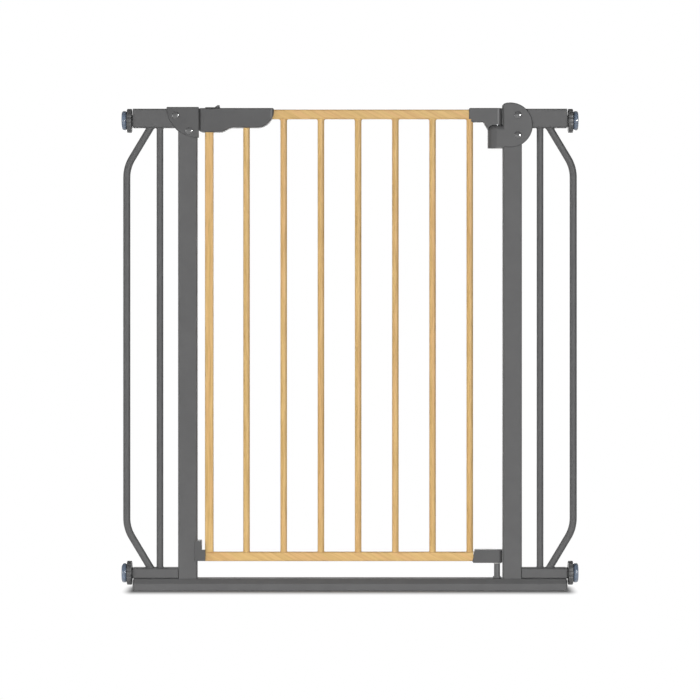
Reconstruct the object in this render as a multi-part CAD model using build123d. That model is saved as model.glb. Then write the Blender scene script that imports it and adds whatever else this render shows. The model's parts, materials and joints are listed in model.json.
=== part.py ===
from build123d import *
import os

# Pressure-fit safety gate: a steel frame with a lift-and-swing leaf, wedged between two walls.
# Millimetres, +Z up, front towards -Y. The origin is the middle of the floor rail's underside.

# ---------------------------------------------------------------- driving dimensions
# Frame
passage_width = 483.0        # between the inner faces of the posts
frame_height = 760.7         # floor to the top of the posts and top arms
frame_depth = 25.0           # posts and arms, front to back
post_width = 30.0
arm_length = 71.5            # arms reach this far out from the posts
top_arm_height = 30.0
bottom_arm_height = 16.6
frame_wall = 1.5
frame_corner = 3.0           # outer corner radius of the rectangular tubes
base_plate = 3.0             # plate welded into the foot of each post

# Floor rail
rail_depth = 40.0
rail_height = 18.5
rail_flat = 27.0             # width of the flat top
rail_side = 11.0             # height of the upright sides
rail_wall = 2.0
rail_round = 2.0
cap_flange = 3.0             # end caps
cap_round = 2.7              # along the flange's outer foot
cap_insert = 14.0
cap_corner = 5.0
cap_play = 0.1

# Side bars
straight_bar_diameter = 10.7
straight_bar_offset = 29.3   # from the post's outer face
bent_bar_diameter = 11.3
bent_foot_offset = 44.5
bent_reach = 81.8
bend_drop = 62.2             # height of each slanted run
bend_radius = 58.0
bar_wall = 1.2
weld_bead = 2.5

# Wall spindles
wheel_diameter = 38.0
wheel_width = 7.6
wheel_gap = 2.0              # arm end to wheel rim
wheel_hub_diameter = 18.0
grip_notches = 12
notch_size = 3.2
pad_diameter = 31.0
pad_thickness = 8.0
pad_bevel = 2.0
pad_socket = 5.0             # depth of the rod's end in its pad
rod_diameter = 8.0
rod_flats = 6.4              # across the two flats that keep the rod from turning
rod_bevel = 0.8
spindle_travel = 35.0
spindle_grip = 22.0          # rod left inside its plug at full travel
spindle_drop = 3.7           # top rods lie below the middle of their arms
plug_flange = 1.3
plug_length = 26.0
plug_play = 0.15

# Leaf
leaf_depth = 12.0
leaf_wall = 1.2
leaf_corner = 2.4
leaf_bar_diameter = 10.5
leaf_bar_count = 6
latch_stile_width = 13.4
latch_stile_gap = 12.1       # left post to latch stile
hinge_stile_gap = 46.7       # hinge stile to right post
top_rail_height = 15.0
top_rail_drop = 1.1          # below the top of the frame
bottom_rail_height = 14.5
leaf_ground_gap = 27.0       # floor rail to bottom rail
leaf_top_bead = 3.0
leaf_bottom_bead = 1.5

# Hinge
hinge_offset = 8.8           # hinge axis to the right post's inner face
lift_travel = 12.0
housing_depth = 30.0
housing_radius = 35.4
housing_centre_in = 11.6     # disc centre, in from the post's inner face
housing_centre_drop = 25.8   # and below the top of the frame
housing_face_in = 0.7        # upright face beside the hinge arm
housing_face_round = 5.0
housing_rim = 2.5
housing_edge = 1.2
barrel_bottom_drop = 62.3    # below the top of the frame
barrel_top_drop = 25.7
barrel_round = 8.5
pin_diameter = 7.0
pin_engagement = 26.0
bush_wall = 1.6
bush_flange = 1.5
bush_flange_overhang = 1.2
spring_wire = 2.0
spring_pitch = 4.5
spring_turns = 2
spring_play = 0.4
upper_arm_overlap = 6.8      # hinge stile covered by the upper arm
upper_arm_rise = 2.4         # arm's top above the leaf's top rail
upper_arm_drop = 5.0         # arm's flat underside below that rail
upper_arm_depth = 16.0
upper_arm_end = 16.0         # knuckle diameter
upper_arm_socket = 12.0
gusset_start = 22.2          # from the hinge axis
gusset_depth = 8.0
lower_arm_depth = 16.4
lower_arm_drop = 2.5         # below the bottom rail
lower_arm_rise = 3.7         # above it
lower_arm_lap = 1.4
lower_arm_slant = 4.1
lower_arm_spigot = 16.0
arm_round = 2.2
arm_edge = 1.0
spindle_diameter = 9.5
spindle_flats = 7.6
spindle_engagement = 17.0
spindle_foot_diameter = 12.8
spindle_foot = 2.5
journal_diameter = 7.0
washer_thickness = 1.0
clip_thickness = 1.2
clip_overhang = 2.5

# Latch and handle
cover_width = 51.2
cover_height = 48.7
cover_overlap = 2.5          # above the top of the frame
cover_lip = 3.0              # past the post's inner face, a stop for the handle
cover_rim = 2.5
cover_corner = 1.5
handle_nose_gap = 0.6        # nose to the post's inner face
handle_length = 120.7
handle_rise = 2.0            # above the leaf's top rail
handle_height = 30.9
handle_lobe = 7.1            # extra height of the part over the latch stile
handle_lobe_end = 38.9       # from the nose
handle_step = 14.0
handle_depth = 28.0
handle_wall = 2.4
handle_nose_round = 12.0
handle_edge = 1.6
handle_end_round = 26.5
handle_step_round = 14.0
handle_lobe_round = 9.0
handle_top_round = 5.0
handle_tip_round = 2.5
track_start = 11.6           # from the nose
track_length = 23.0
track_width = 9.0
track_rise = 1.8
latch_travel = 12.0
bolt_height = 8.0
bolt_depth = 6.0
bolt_length = 38.5
bolt_setback = 2.4           # behind the nose when drawn back
bolt_shoulder = 14.5
bolt_stem = 3.4
bolt_stem_length = 6.0
nub_length = 4.6
nub_width = 8.0
nub_rise = 3.0
keeper_depth = 14.0
keeper_length = 24.0
keeper_height = 22.0
catch_height = 31.6
catch_low_height = 17.4
catch_drop = 1.1             # top of bottom rail's underside to the catch's underside
catch_body = 6.8
catch_reach = 13.0
catch_depth = 30.0
catch_wrap = 4.0
catch_shelf = 2.8
tongue_reach = 4.5
tongue_height = 6.0
tongue_depth = 6.0
tongue_insert = 18.0

# Fasteners
cover_screw_head = 12.0
cover_screw_head_height = 2.4
cover_screw_shank = 4.0
cover_screw_short = 1.2      # screw tip to the back of its cover or housing
cover_screw_out = 4.0        # upper cover screw, out from the post
cover_screw_drop = 10.7      # and below the top of the frame
cover_screw_in = 2.8         # lower cover screw, in from the post's middle
cover_screw_below = 5.0      # and below the top arm
housing_screw_out = 8.5      # out from the post's middle
housing_screw_drop = 10.5    # below the top of the frame
housing_screw_pitch = 31.7
catch_screw_top = 6.0        # below the top of the catch
catch_screw_bottom = 9.0     # above its underside
small_screw_head = 6.0
small_screw_head_height = 1.8
small_screw_shank = 3.0
post_screw_head = 11.0
post_screw_head_height = 4.0
post_screw_shank = 6.0
post_screw_spread = 14.0
post_screw_length = 12.0

# Clearances
moving_gap = 0.3             # between pieces that move past each other
running_fit = 0.05           # radial, journals and pins
thread_fit = 0.1             # radial, rods in their wheels

# ---------------------------------------------------------------- places worked out from them
post_inner = passage_width / 2
post_outer = post_inner + post_width
post_x = (post_inner + post_outer) / 2
arm_end = post_outer + arm_length
tube_end = arm_end - plug_flange
top_arm_bottom = frame_height - top_arm_height
bottom_arm_top = rail_height + bottom_arm_height
half_frame = frame_depth / 2
top_rod_z = frame_height - top_arm_height / 2 - spindle_drop
bottom_rod_z = rail_height + bottom_arm_height / 2
wheel_inner = arm_end + wheel_gap
wheel_outer = wheel_inner + wheel_width
pad_inner = wheel_outer + moving_gap
pad_outer = pad_inner + pad_thickness
rod_inner = tube_end - spindle_grip - spindle_travel

leaf_left = -post_inner + latch_stile_gap
leaf_right = post_inner - hinge_stile_gap
leaf_bottom = rail_height + leaf_ground_gap
bottom_rail_top = leaf_bottom + bottom_rail_height
leaf_top = frame_height - top_rail_drop
top_rail_bottom = leaf_top - top_rail_height
half_leaf = leaf_depth / 2
latch_stile_x = leaf_left + latch_stile_width / 2
hinge_stile_x = leaf_right - leaf_bar_diameter / 2
bar_pitch = (hinge_stile_x - latch_stile_x) / (leaf_bar_count + 1)

hinge_x = post_inner - hinge_offset
half_housing = housing_depth / 2
housing_face_x = post_inner + housing_face_in
housing_lip_x = hinge_x + upper_arm_depth / 2 + moving_gap
cover_screw_length = housing_depth - cover_screw_short
barrel_bottom = frame_height - barrel_bottom_drop
barrel_top = frame_height - barrel_top_drop
housing_x = post_inner + housing_centre_in
housing_z = frame_height - housing_centre_drop
pin_radius = pin_diameter / 2
bush_radius = pin_radius + running_fit + bush_wall
spring_radius = bush_radius + spring_play + spring_wire / 2
barrel_floor = barrel_bottom + housing_rim
barrel_cavity = spring_radius + spring_wire / 2 + spring_play
upper_arm_bottom = top_rail_bottom - upper_arm_drop
upper_arm_top = leaf_top + upper_arm_rise
lower_arm_bottom = leaf_bottom - lower_arm_drop
lower_arm_top = bottom_rail_top + lower_arm_rise

nose_x = -post_inner + handle_nose_gap
handle_end = nose_x + handle_length
handle_top = leaf_top + handle_rise
handle_bottom = handle_top - handle_height
handle_lobe_bottom = handle_bottom - handle_lobe
bolt_z = (leaf_top + top_rail_bottom) / 2
bolt_tip = nose_x + bolt_setback
track_x = nose_x + track_start + track_length / 2
nub_x = nose_x + track_start + track_length - nub_length / 2
catch_bottom = leaf_bottom + catch_drop
tongue_z = leaf_bottom + bottom_rail_height / 2

cover_screw_places = (
    (-post_outer - cover_screw_out, frame_height - cover_screw_drop),
    (-post_x + cover_screw_in, top_arm_bottom - cover_screw_below),
)
housing_screw_x = post_x + housing_screw_out
housing_screw_top = frame_height - housing_screw_drop
housing_screw_places = (
    (housing_screw_x, housing_screw_top),
    (housing_screw_x, housing_screw_top - housing_screw_pitch),
)
BASE = (Align.CENTER, Align.CENTER, Align.MIN)
TOP = (Align.CENTER, Align.CENTER, Align.MAX)


# ---------------------------------------------------------------- shared shapes
def block(x_span, y_span, z_span):
    """Box between three pairs of limits."""
    spans = (x_span, y_span, z_span)
    middle = [(low + high) / 2 for low, high in spans]
    return Pos(*middle) * Box(*[high - low for low, high in spans])


def across(x, z):
    """Location at a place in the front view, with its Z axis towards the viewer."""
    return Location(Plane.XZ) * Pos(x, z, 0)


def along_x(x, z, side=1):
    """Location whose Z axis points outwards along X, local x along Y for side 1."""
    return Plane(origin=(x, 0, z), x_dir=(0, side, 0), z_dir=(side, 0, 0)).location


def front_half(shape):
    """The half of a shape in front of the gate's middle plane."""
    return split(shape, bisect_by=Plane.XZ, keep=Keep.TOP)


def back_half(shape):
    """The half of a shape behind the gate's middle plane."""
    return split(shape, bisect_by=Plane.XZ, keep=Keep.BOTTOM)


def rounded_ring(width, height, corner, wall):
    """Section of a rectangular tube."""
    outer = RectangleRounded(width, height, corner)
    return outer - RectangleRounded(width - 2 * wall, height - 2 * wall, corner - wall)


def closed_outline(points, radii):
    """Face inside a polygon whose corners are rounded one by one."""
    return make_face(FilletPolyline(*points, radius=radii, close=True))


def double_d(diameter, flats):
    """Round section with two flats."""
    return Circle(diameter / 2) & Rectangle(diameter, flats)


def screw(head_diameter, head_height, shank_diameter, length):
    """Pan-head screw with its shank towards -Z and its seat at the origin."""
    head = Cylinder(head_diameter / 2, head_height, align=BASE)
    head = chamfer(head.edges().group_by(Axis.Z)[-1], head_height / 2)
    return head + Cylinder(shank_diameter / 2, length, align=TOP)


def bar_with_beads(diameter, wall, low, high, low_bead, high_bead):
    """Upright round tube with a weld bead around each end."""
    radius = diameter / 2
    bar = Pos(0, 0, low) * Cylinder(radius, high - low, align=BASE)
    foot = Pos(0, 0, low) * Cone(radius + low_bead, radius, low_bead, align=BASE)
    head = Pos(0, 0, high) * Rot(180, 0, 0) * Cone(radius + high_bead, radius, high_bead, align=BASE)
    bore = Pos(0, 0, low) * Cylinder(radius - wall, high - low, align=BASE)
    return bar + foot + head - bore


# ---------------------------------------------------------------- frame
def rail_section():
    """Outline of the floor rail: flat top, sloped shoulders, upright sides."""
    half_depth = rail_depth / 2
    half_flat = rail_flat / 2
    points = [
        (-half_depth, 0), (half_depth, 0), (half_depth, rail_side),
        (half_flat, rail_height), (-half_flat, rail_height), (-half_depth, rail_side),
    ]
    return closed_outline(points, rail_round)


def post_screw_places():
    """Both screws under each post."""
    for side in (-1, 1):
        for step in (-0.5, 0.5):
            yield side * post_x + step * post_screw_spread


def floor_rail():
    """Hollow threshold with holes for the post screws and the lower hinge."""
    length = 2 * (arm_end - cap_flange)
    outline = rail_section()
    ring = outline - offset(outline, amount=-rail_wall)
    rail = extrude(along_x(-length / 2, 0) * ring, amount=length)
    for x in post_screw_places():
        rail -= Pos(x, 0, 0) * Cylinder(post_screw_shank / 2 + thread_fit, rail_height * 2)
        rail -= Pos(x, 0, 0) * Cylinder(post_screw_head / 2 + moving_gap, rail_height, align=Align.CENTER)
    rail -= Pos(hinge_x, 0, 0) * Cylinder(journal_diameter / 2 + bush_wall + running_fit, rail_height * 2)
    access = journal_diameter / 2 + clip_overhang + 1
    return rail - Pos(hinge_x, 0, 0) * Cylinder(access, rail_height)


def rail_end_caps():
    """Moulded plugs that close both ends of the rail."""
    outline = rail_section()
    insert = offset(outline, amount=-rail_wall - cap_play)
    seat = arm_end - cap_flange
    flange = extrude(along_x(seat, 0) * outline, amount=cap_flange)
    outer_foot = flange.faces().sort_by(Axis.X)[-1].edges().sort_by(Axis.Z)[0]
    flange = fillet(outer_foot, cap_round)
    cap = flange + extrude(along_x(seat, 0) * insert, amount=-cap_insert)
    return [cap, mirror(cap, Plane.YZ)]


def post(side):
    """Upright tube with a plate in its foot for the rail screws."""
    ring = rounded_ring(post_width, frame_depth, frame_corner, frame_wall)
    tube = extrude(Pos(side * post_x, 0, rail_height) * ring, amount=frame_height - rail_height)
    inner = RectangleRounded(
        post_width - 2 * frame_wall, frame_depth - 2 * frame_wall, frame_corner - frame_wall)
    tube += extrude(Pos(side * post_x, 0, rail_height) * inner, amount=base_plate)
    for x in post_screw_places():
        tube -= Pos(x, 0, rail_height) * Cylinder(post_screw_shank / 2, 4 * base_plate)
    return tube


def left_post():
    """Latch-side post, with the bolt's slot and the screw holes."""
    tube = post(-1)
    slot = block((-post_inner - 2 * frame_wall, -post_inner + 1), (-bolt_depth / 2 - moving_gap,
                 bolt_depth / 2 + moving_gap), (bolt_z - bolt_height / 2 - moving_gap,
                 bolt_z + bolt_height / 2 + moving_gap))
    tube -= slot
    x, z = cover_screw_places[1]
    tube -= across(x, z) * Cylinder(cover_screw_shank / 2, 2 * frame_depth)
    for z in catch_screw_heights():
        tube -= along_x(-post_inner, z) * Cylinder(small_screw_shank / 2, 4 * frame_wall)
    return tube


def right_post():
    """Hinge-side post, with the housing's screw holes."""
    tube = post(1)
    for x, z in housing_screw_places:
        tube -= across(x, z) * Cylinder(cover_screw_shank / 2, 2 * frame_depth)
    return tube


def arm(side, height, z_middle):
    """Rectangular tube from a post towards the wall."""
    ring = rounded_ring(frame_depth, height, frame_corner, frame_wall)
    return extrude(along_x(side * post_outer, z_middle, side) * ring, amount=tube_end - post_outer)


def top_arm(side):
    """Upper arm; the left one takes a cover screw."""
    tube = arm(side, top_arm_height, frame_height - top_arm_height / 2)
    x, z = cover_screw_places[0]
    return tube - across(x, z) * Cylinder(cover_screw_shank / 2, 2 * frame_depth)


def straight_bar(side):
    """Round upright between the two arms."""
    bar = bar_with_beads(
        straight_bar_diameter, bar_wall, bottom_arm_top, top_arm_bottom, weld_bead, weld_bead)
    return Pos(side * (post_outer + straight_bar_offset), 0, 0) * bar


def bent_bar(side):
    """Round tube that bows outwards, mitred onto both arms."""
    radius = bent_bar_diameter / 2
    foot_x = post_outer + bent_foot_offset
    reach_x = post_outer + bent_reach
    slope = (reach_x - foot_x) / bend_drop
    past = radius                # each end runs on into its arm before it is mitred
    path = FilletPolyline(
        (foot_x - slope * past, 0, top_arm_bottom + past),
        (reach_x, 0, top_arm_bottom - bend_drop),
        (reach_x, 0, bottom_arm_top + bend_drop),
        (foot_x - slope * past, 0, bottom_arm_top - past),
        radius=bend_radius,
    )
    start = Plane(origin=path @ 0, z_dir=path % 0)
    long_radius = radius * (1 + slope**2) ** 0.5
    drift = slope * weld_bead
    bead = loft([
        Ellipse(long_radius + weld_bead, radius + weld_bead),
        Pos(drift, 0, weld_bead) * Ellipse(long_radius, radius),
    ])
    bar = sweep(start * Circle(radius), path=path)
    bar += Pos(foot_x, 0, bottom_arm_top) * bead
    bar += Pos(foot_x, 0, top_arm_bottom) * Rot(180, 0, 0) * bead
    bar -= sweep(start * Circle(radius - bar_wall), path=path)
    bar &= block((post_outer, pad_outer), (-half_frame, half_frame), (bottom_arm_top, top_arm_bottom))
    return bar if side > 0 else mirror(bar, Plane.YZ)


def post_base_screws():
    """Screws from inside the rail up into the posts' base plates."""
    seat = rail_height - rail_wall
    head = extrude(RegularPolygon(post_screw_head / 2, 6), post_screw_head_height)
    shank = Cylinder(post_screw_shank / 2, post_screw_length, align=TOP)
    return [Pos(x, 0, seat) * Rot(180, 0, 0) * (head + shank) for x in post_screw_places()]


# ---------------------------------------------------------------- wall spindles
def spindle_plugs():
    """Moulded guides in the arm ends; their flats keep the rods from turning."""
    bore = double_d(rod_diameter + 2 * moving_gap, rod_flats + 2 * moving_gap)
    plugs = []
    for side in (-1, 1):
        for height, z, rod_z in (
            (top_arm_height, frame_height - top_arm_height / 2, top_rod_z),
            (bottom_arm_height, bottom_rod_z, bottom_rod_z),
        ):
            inset = 2 * (frame_wall + plug_play)
            flange = RectangleRounded(frame_depth, height, frame_corner)
            shank = RectangleRounded(frame_depth - inset, height - inset, frame_corner - frame_wall)
            plug = extrude(along_x(side * tube_end, z, side) * flange, amount=plug_flange)
            plug += extrude(along_x(side * tube_end, z, side) * shank, amount=-plug_length)
            start = along_x(side * arm_end, rod_z, side)
            plugs.append(plug - extrude(start * bore, amount=-plug_flange - plug_length))
    return plugs


def hand_wheel():
    """Grooved nut that drives the rod, rim at the origin's wall side."""
    outline = Circle(wheel_diameter / 2)
    for spot in PolarLocations(wheel_diameter / 2, grip_notches):
        outline -= spot * Rot(0, 0, 45) * Rectangle(notch_size, notch_size)
    rim = extrude(outline, amount=wheel_width)
    hub = Cylinder(wheel_hub_diameter / 2, wheel_gap - moving_gap, align=TOP)
    bore = Cylinder(rod_diameter / 2 + thread_fit, 3 * wheel_width)
    return rim + hub - bore


def wall_rod():
    """Threaded rod with two flats, from deep in its plug into its pad, the pad's seat at the origin."""
    inside = pad_inner - rod_inner
    rod = Cylinder(rod_diameter / 2, inside + pad_socket, align=BASE)
    rod = chamfer(rod.edges().group_by(Axis.Z)[0], rod_bevel)
    return Pos(0, 0, -inside) * (rod & Box(rod_diameter, rod_flats, 2 * inside, align=BASE))


def wall_pad():
    """Soft pad pressed onto the rod's end."""
    pad = Cylinder(pad_diameter / 2, pad_thickness, align=BASE)
    pad = chamfer(pad.edges().group_by(Axis.Z)[-1], pad_bevel)
    return pad - extrude(double_d(rod_diameter, rod_flats), pad_socket)


# ---------------------------------------------------------------- hinge
def hinge_barrel():
    """Upright barrel under the hinge arm, with a rounded shoulder."""
    body = Cylinder(half_housing, barrel_top - barrel_bottom, align=BASE)
    body = fillet(body.edges().group_by(Axis.Z)[-1], barrel_round)
    return Pos(hinge_x, 0, barrel_bottom) * body


def housing_outline(inset, face_x=housing_face_x):
    """Round plate over the post's top, cut upright beside the hinge arm."""
    plate = Pos(housing_x, housing_z) * Circle(housing_radius - inset)
    keep = Pos(face_x + inset, housing_z) * Rectangle(
        4 * housing_radius, 4 * housing_radius, align=(Align.MIN, Align.CENTER))
    plate &= keep
    corner = plate.vertices().sort_by(Axis.Y)[-1]
    return fillet(corner, housing_face_round)


def frame_envelope(side):
    """Everything that a post and its top arm fill, hollow or not."""
    section = RectangleRounded(post_width, frame_depth, frame_corner)
    upright = extrude(Pos(side * post_x, 0, rail_height) * section, amount=frame_height - rail_height)
    level = extrude(along_x(side * post_outer, frame_height - top_arm_height / 2, side)
                    * RectangleRounded(frame_depth, top_arm_height, frame_corner), amount=arm_length)
    return upright + level


def hinge_housing():
    """Whole housing before it is split: plate, bridge and barrel around the bush and spring."""
    plate = extrude(across(0, 0) * housing_outline(0), amount=half_housing, both=True)
    rims = plate.faces().filter_by(Axis.Y).edges()
    plate = chamfer(rims, housing_edge)
    lip = extrude(across(0, 0) * Pos(0, 0, housing_edge - half_housing) * housing_outline(0, housing_lip_x),
                  amount=half_housing - housing_edge + upper_arm_depth / 2)
    plate += lip
    section = Rectangle(housing_depth, barrel_top - barrel_bottom, align=(Align.CENTER, Align.MIN))
    section = fillet(section.vertices().group_by(Axis.Y)[-1], barrel_round)
    bridge = extrude(along_x(hinge_x, barrel_bottom) * section, amount=housing_x - hinge_x)
    depth = (-half_housing, half_housing)
    below_plate = block((housing_face_x, housing_x), depth, (barrel_bottom, housing_z))
    hollow = extrude(across(0, 0) * housing_outline(housing_rim), amount=half_frame, both=True)
    hollow -= block((hinge_x, post_inner + frame_wall), depth, (barrel_bottom, housing_z))
    shell = plate - hollow + hinge_barrel() + (bridge - below_plate) + (bridge & plate)
    shell -= frame_envelope(1)
    bore = Pos(hinge_x, 0, barrel_floor) * Cylinder(barrel_cavity, spring_room(), align=BASE)
    neck = Pos(hinge_x, 0, barrel_floor) * Cylinder(bush_radius, barrel_top, align=BASE)
    shell = shell - bore - neck
    for x, z in housing_screw_places:
        shell -= across(x, z) * cover_screw_bore()
    return shell


def cover_screw_bore():
    """Blind hole for a cover screw, from in front of the gate's middle plane."""
    depth = cover_screw_length + moving_gap
    return Pos(0, 0, half_housing) * Cylinder(cover_screw_shank / 2, depth, align=TOP)


def spring_room():
    """Height of the room for the closing spring."""
    return spring_pitch * spring_turns + 2 * spring_wire


def hinge_bush():
    """Nylon sleeve for the hinge pin."""
    height = barrel_top - barrel_floor
    sleeve = Cylinder(bush_radius, height, align=BASE)
    bore = Pos(0, 0, bush_flange) * Cylinder(pin_radius + running_fit, height, align=BASE)
    return Pos(hinge_x, 0, barrel_floor) * (sleeve - bore)


def closing_spring():
    """Torsion spring around the bush that swings the leaf shut."""
    path = Helix(spring_pitch, spring_pitch * spring_turns, spring_radius)
    wire = Plane(origin=path @ 0, z_dir=path % 0) * Rectangle(spring_wire, spring_wire)
    coil = sweep(wire, path=path, is_frenet=True)
    return Pos(hinge_x, 0, barrel_floor + spring_wire) * coil


def arm_plan(start, depth, knuckle):
    """Plan view of a hinge arm: straight, ending in a round knuckle on the axis."""
    bar = Pos((start + hinge_x) / 2, 0) * Rectangle(hinge_x - start, depth)
    taper = make_hull((Pos(hinge_x, 0) * Circle(knuckle / 2)).edges()
                      + (Pos(start, 0) * Rectangle(1, depth, align=(Align.MIN, Align.CENTER))).edges())
    return taper if knuckle < depth else bar + Pos(hinge_x, 0) * Circle(knuckle / 2)


def top_rail_envelope():
    """Everything that the top rail fills, hollow or not."""
    length = leaf_right + upper_arm_socket - upper_arm_overlap - leaf_left
    outline = RectangleRounded(leaf_depth, top_rail_height, leaf_corner)
    return extrude(along_x(leaf_left, bolt_z) * outline, amount=length)


def hinge_stile_envelope():
    """Everything that the hinge stile fills, hollow or not."""
    radius = leaf_bar_diameter / 2 + leaf_top_bead
    height = top_rail_bottom - bottom_rail_top
    return Pos(hinge_stile_x, 0, bottom_rail_top) * Cylinder(radius, height, align=BASE)


def upper_arm_screw_seat():
    """Back of the upper arm, over the rail inside its socket."""
    middle = leaf_right + (upper_arm_socket - upper_arm_overlap) / 2
    return across(middle, bolt_z) * Pos(0, 0, -upper_arm_depth / 2)


def lower_arm_screw_seat():
    """Back of the bottom rail, over the lower arm's spigot."""
    return across(leaf_right - lower_arm_spigot / 2, tongue_z) * Pos(0, 0, -half_leaf)


def small_bore():
    """Hole for a small screw's shank, along Z from its seat."""
    return Cylinder(small_screw_shank / 2, half_leaf, align=BASE)


def barrel_room():
    """Room that the arm leaves over the barrel and its bridge as it swings through a right angle."""
    left = hinge_x - half_housing - moving_gap
    right = hinge_x + upper_arm_end
    top = barrel_top + moving_gap
    points = [(left, barrel_bottom), (right, barrel_bottom), (right, top), (left, top)]
    outline = closed_outline(points, [0, 0, 0, barrel_round + moving_gap])
    return extrude(across(0, 0) * outline, amount=upper_arm_depth, both=True)


def upper_hinge_arm():
    """Arm that carries the leaf's top corner and rides over the barrel."""
    start = leaf_right - upper_arm_overlap
    low = barrel_top - gusset_depth
    end = hinge_x + upper_arm_end / 2
    points = [
        (start, upper_arm_top), (start, upper_arm_bottom), (hinge_x - gusset_start, upper_arm_bottom),
        (hinge_x - half_housing, low), (end, low), (end, upper_arm_top),
    ]
    side_view = extrude(across(0, 0) * closed_outline(points, [arm_round, arm_round, arm_round, 0, 0, 0]),
                        amount=upper_arm_depth, both=True)
    plan = extrude(Pos(0, 0, low) * arm_plan(start, upper_arm_depth, upper_arm_end),
                   amount=upper_arm_top - low)
    body = side_view & plan
    body = chamfer(body.faces().sort_by(Axis.Z)[-1].edges(), arm_edge)
    body -= barrel_room()
    body -= top_rail_envelope()
    body -= hinge_stile_envelope()
    body -= Pos(hinge_x, 0, low) * Cylinder(pin_radius, upper_arm_top - low - 2 * handle_wall, align=BASE)
    return body - upper_arm_screw_seat() * small_bore()


def upper_hinge_pin():
    """Steel pin fixed in the upper arm, free to turn and rise in the bush."""
    low = barrel_top - pin_engagement
    high = upper_arm_top - 2 * handle_wall
    pin = Cylinder(pin_radius, high - low, align=BASE)
    pin = chamfer(pin.edges().group_by(Axis.Z)[0], rod_bevel)
    return Pos(hinge_x, 0, low) * pin


def lower_hinge_arm():
    """Arm from the bottom rail to the spindle, with a spigot inside the rail."""
    start = leaf_right - lower_arm_lap
    end = hinge_x + lower_arm_depth / 2
    points = [
        (start, lower_arm_bottom + arm_round), (start + lower_arm_lap, lower_arm_bottom),
        (end, lower_arm_bottom), (end, lower_arm_top), (start + lower_arm_slant, lower_arm_top),
    ]
    side_view = extrude(across(0, 0) * closed_outline(points, [arm_edge, arm_edge, 0, 0, arm_edge]),
                        amount=lower_arm_depth, both=True)
    plan = extrude(Pos(0, 0, lower_arm_bottom) * arm_plan(start, lower_arm_depth, lower_arm_depth),
                   amount=lower_arm_top - lower_arm_bottom)
    body = side_view & plan
    rail_outline = RectangleRounded(leaf_depth, bottom_rail_height, leaf_corner)
    rail = extrude(along_x(leaf_left, tongue_z) * rail_outline, amount=leaf_right - leaf_left)
    body = body - rail - hinge_stile_envelope()
    inset = 2 * (leaf_wall + cap_play)
    spigot = RectangleRounded(leaf_depth - inset, bottom_rail_height - inset, leaf_corner - leaf_wall)
    body += extrude(along_x(leaf_right, tongue_z) * spigot, amount=-lower_arm_spigot)
    body -= lower_arm_screw_seat() * small_bore()
    bore = double_d(spindle_diameter + 2 * running_fit, spindle_flats + 2 * running_fit)
    depth = spindle_engagement + moving_gap
    return body - extrude(Pos(hinge_x, 0, lower_arm_bottom) * bore, amount=depth)


def hinge_spindle():
    """Keyed spindle that the leaf slides up on, turning in the rail's bush."""
    foot_z = rail_height + moving_gap
    journal = Cylinder(journal_diameter / 2, foot_z - rail_wall, align=BASE)
    journal = Pos(0, 0, rail_wall + clip_thickness) * journal
    foot = Pos(0, 0, foot_z) * Cylinder(spindle_foot_diameter / 2, spindle_foot, align=BASE)
    keyed = double_d(spindle_diameter, spindle_flats)
    neck_top = lower_arm_bottom - washer_thickness - moving_gap
    neck = Pos(0, 0, foot_z) * Cylinder(spindle_diameter / 2, neck_top - foot_z, align=BASE)
    key = extrude(Pos(0, 0, neck_top) * keyed, amount=lower_arm_bottom + spindle_engagement - neck_top)
    return Pos(hinge_x, 0, 0) * (journal + foot + neck + key)


def hinge_washer():
    """Nylon washer under the lower arm."""
    ring = Circle(spindle_diameter / 2 + 1.4) - double_d(spindle_diameter + 2 * running_fit,
                                                         spindle_flats + 2 * running_fit)
    return extrude(Pos(hinge_x, 0, lower_arm_bottom) * ring, amount=-washer_thickness)


def rail_bush():
    """Nylon bush for the spindle, held up under the rail's top wall by its flange."""
    radius = journal_diameter / 2 + running_fit + bush_wall
    seat = rail_height - rail_wall
    low = rail_wall + 2 * clip_thickness + 2 * moving_gap
    sleeve = Pos(0, 0, low) * Cylinder(radius, rail_height - low, align=BASE)
    flange = Pos(0, 0, seat - bush_flange) * Cylinder(radius + bush_flange_overhang, bush_flange, align=BASE)
    bore = Pos(0, 0, low) * Cylinder(journal_diameter / 2 + running_fit, rail_height, align=BASE)
    return Pos(hinge_x, 0, 0) * (sleeve + flange - bore)


def spindle_clip():
    """Ring that keeps the spindle in its bush."""
    outer = Circle(journal_diameter / 2 + clip_overhang)
    mouth = Pos(journal_diameter, 0) * Rectangle(2 * journal_diameter, journal_diameter / 2)
    ring = outer - Circle(journal_diameter / 2) - mouth
    return extrude(Pos(hinge_x, 0, rail_wall + clip_thickness + moving_gap) * ring, amount=clip_thickness)


# ---------------------------------------------------------------- leaf
def top_rail():
    """Leaf's top tube, with the slot that the latch button's stem slides in."""
    inner = RectangleRounded(
        leaf_depth - 2 * leaf_wall, top_rail_height - 2 * leaf_wall, leaf_corner - leaf_wall)
    envelope = top_rail_envelope()
    length = leaf_right + upper_arm_socket - upper_arm_overlap - leaf_left
    tube = envelope - extrude(along_x(leaf_left, bolt_z) * inner, amount=length)
    return tube - stem_slot() - upper_arm_screw_seat() * small_bore()


def stem_slot():
    """Room for the button's stem over the whole travel."""
    half_slot = bolt_stem / 2 + moving_gap
    reach = bolt_stem_length / 2 + moving_gap
    ends = (nub_x - latch_travel - reach, nub_x + reach)
    return block(ends, (-half_slot, half_slot), (bolt_z, handle_top + track_rise))


def bottom_rail():
    """Leaf's bottom tube."""
    ring = rounded_ring(leaf_depth, bottom_rail_height, leaf_corner, leaf_wall)
    tube = extrude(along_x(leaf_left, tongue_z) * ring, amount=leaf_right - leaf_left)
    return tube - lower_arm_screw_seat() * small_bore()


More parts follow.
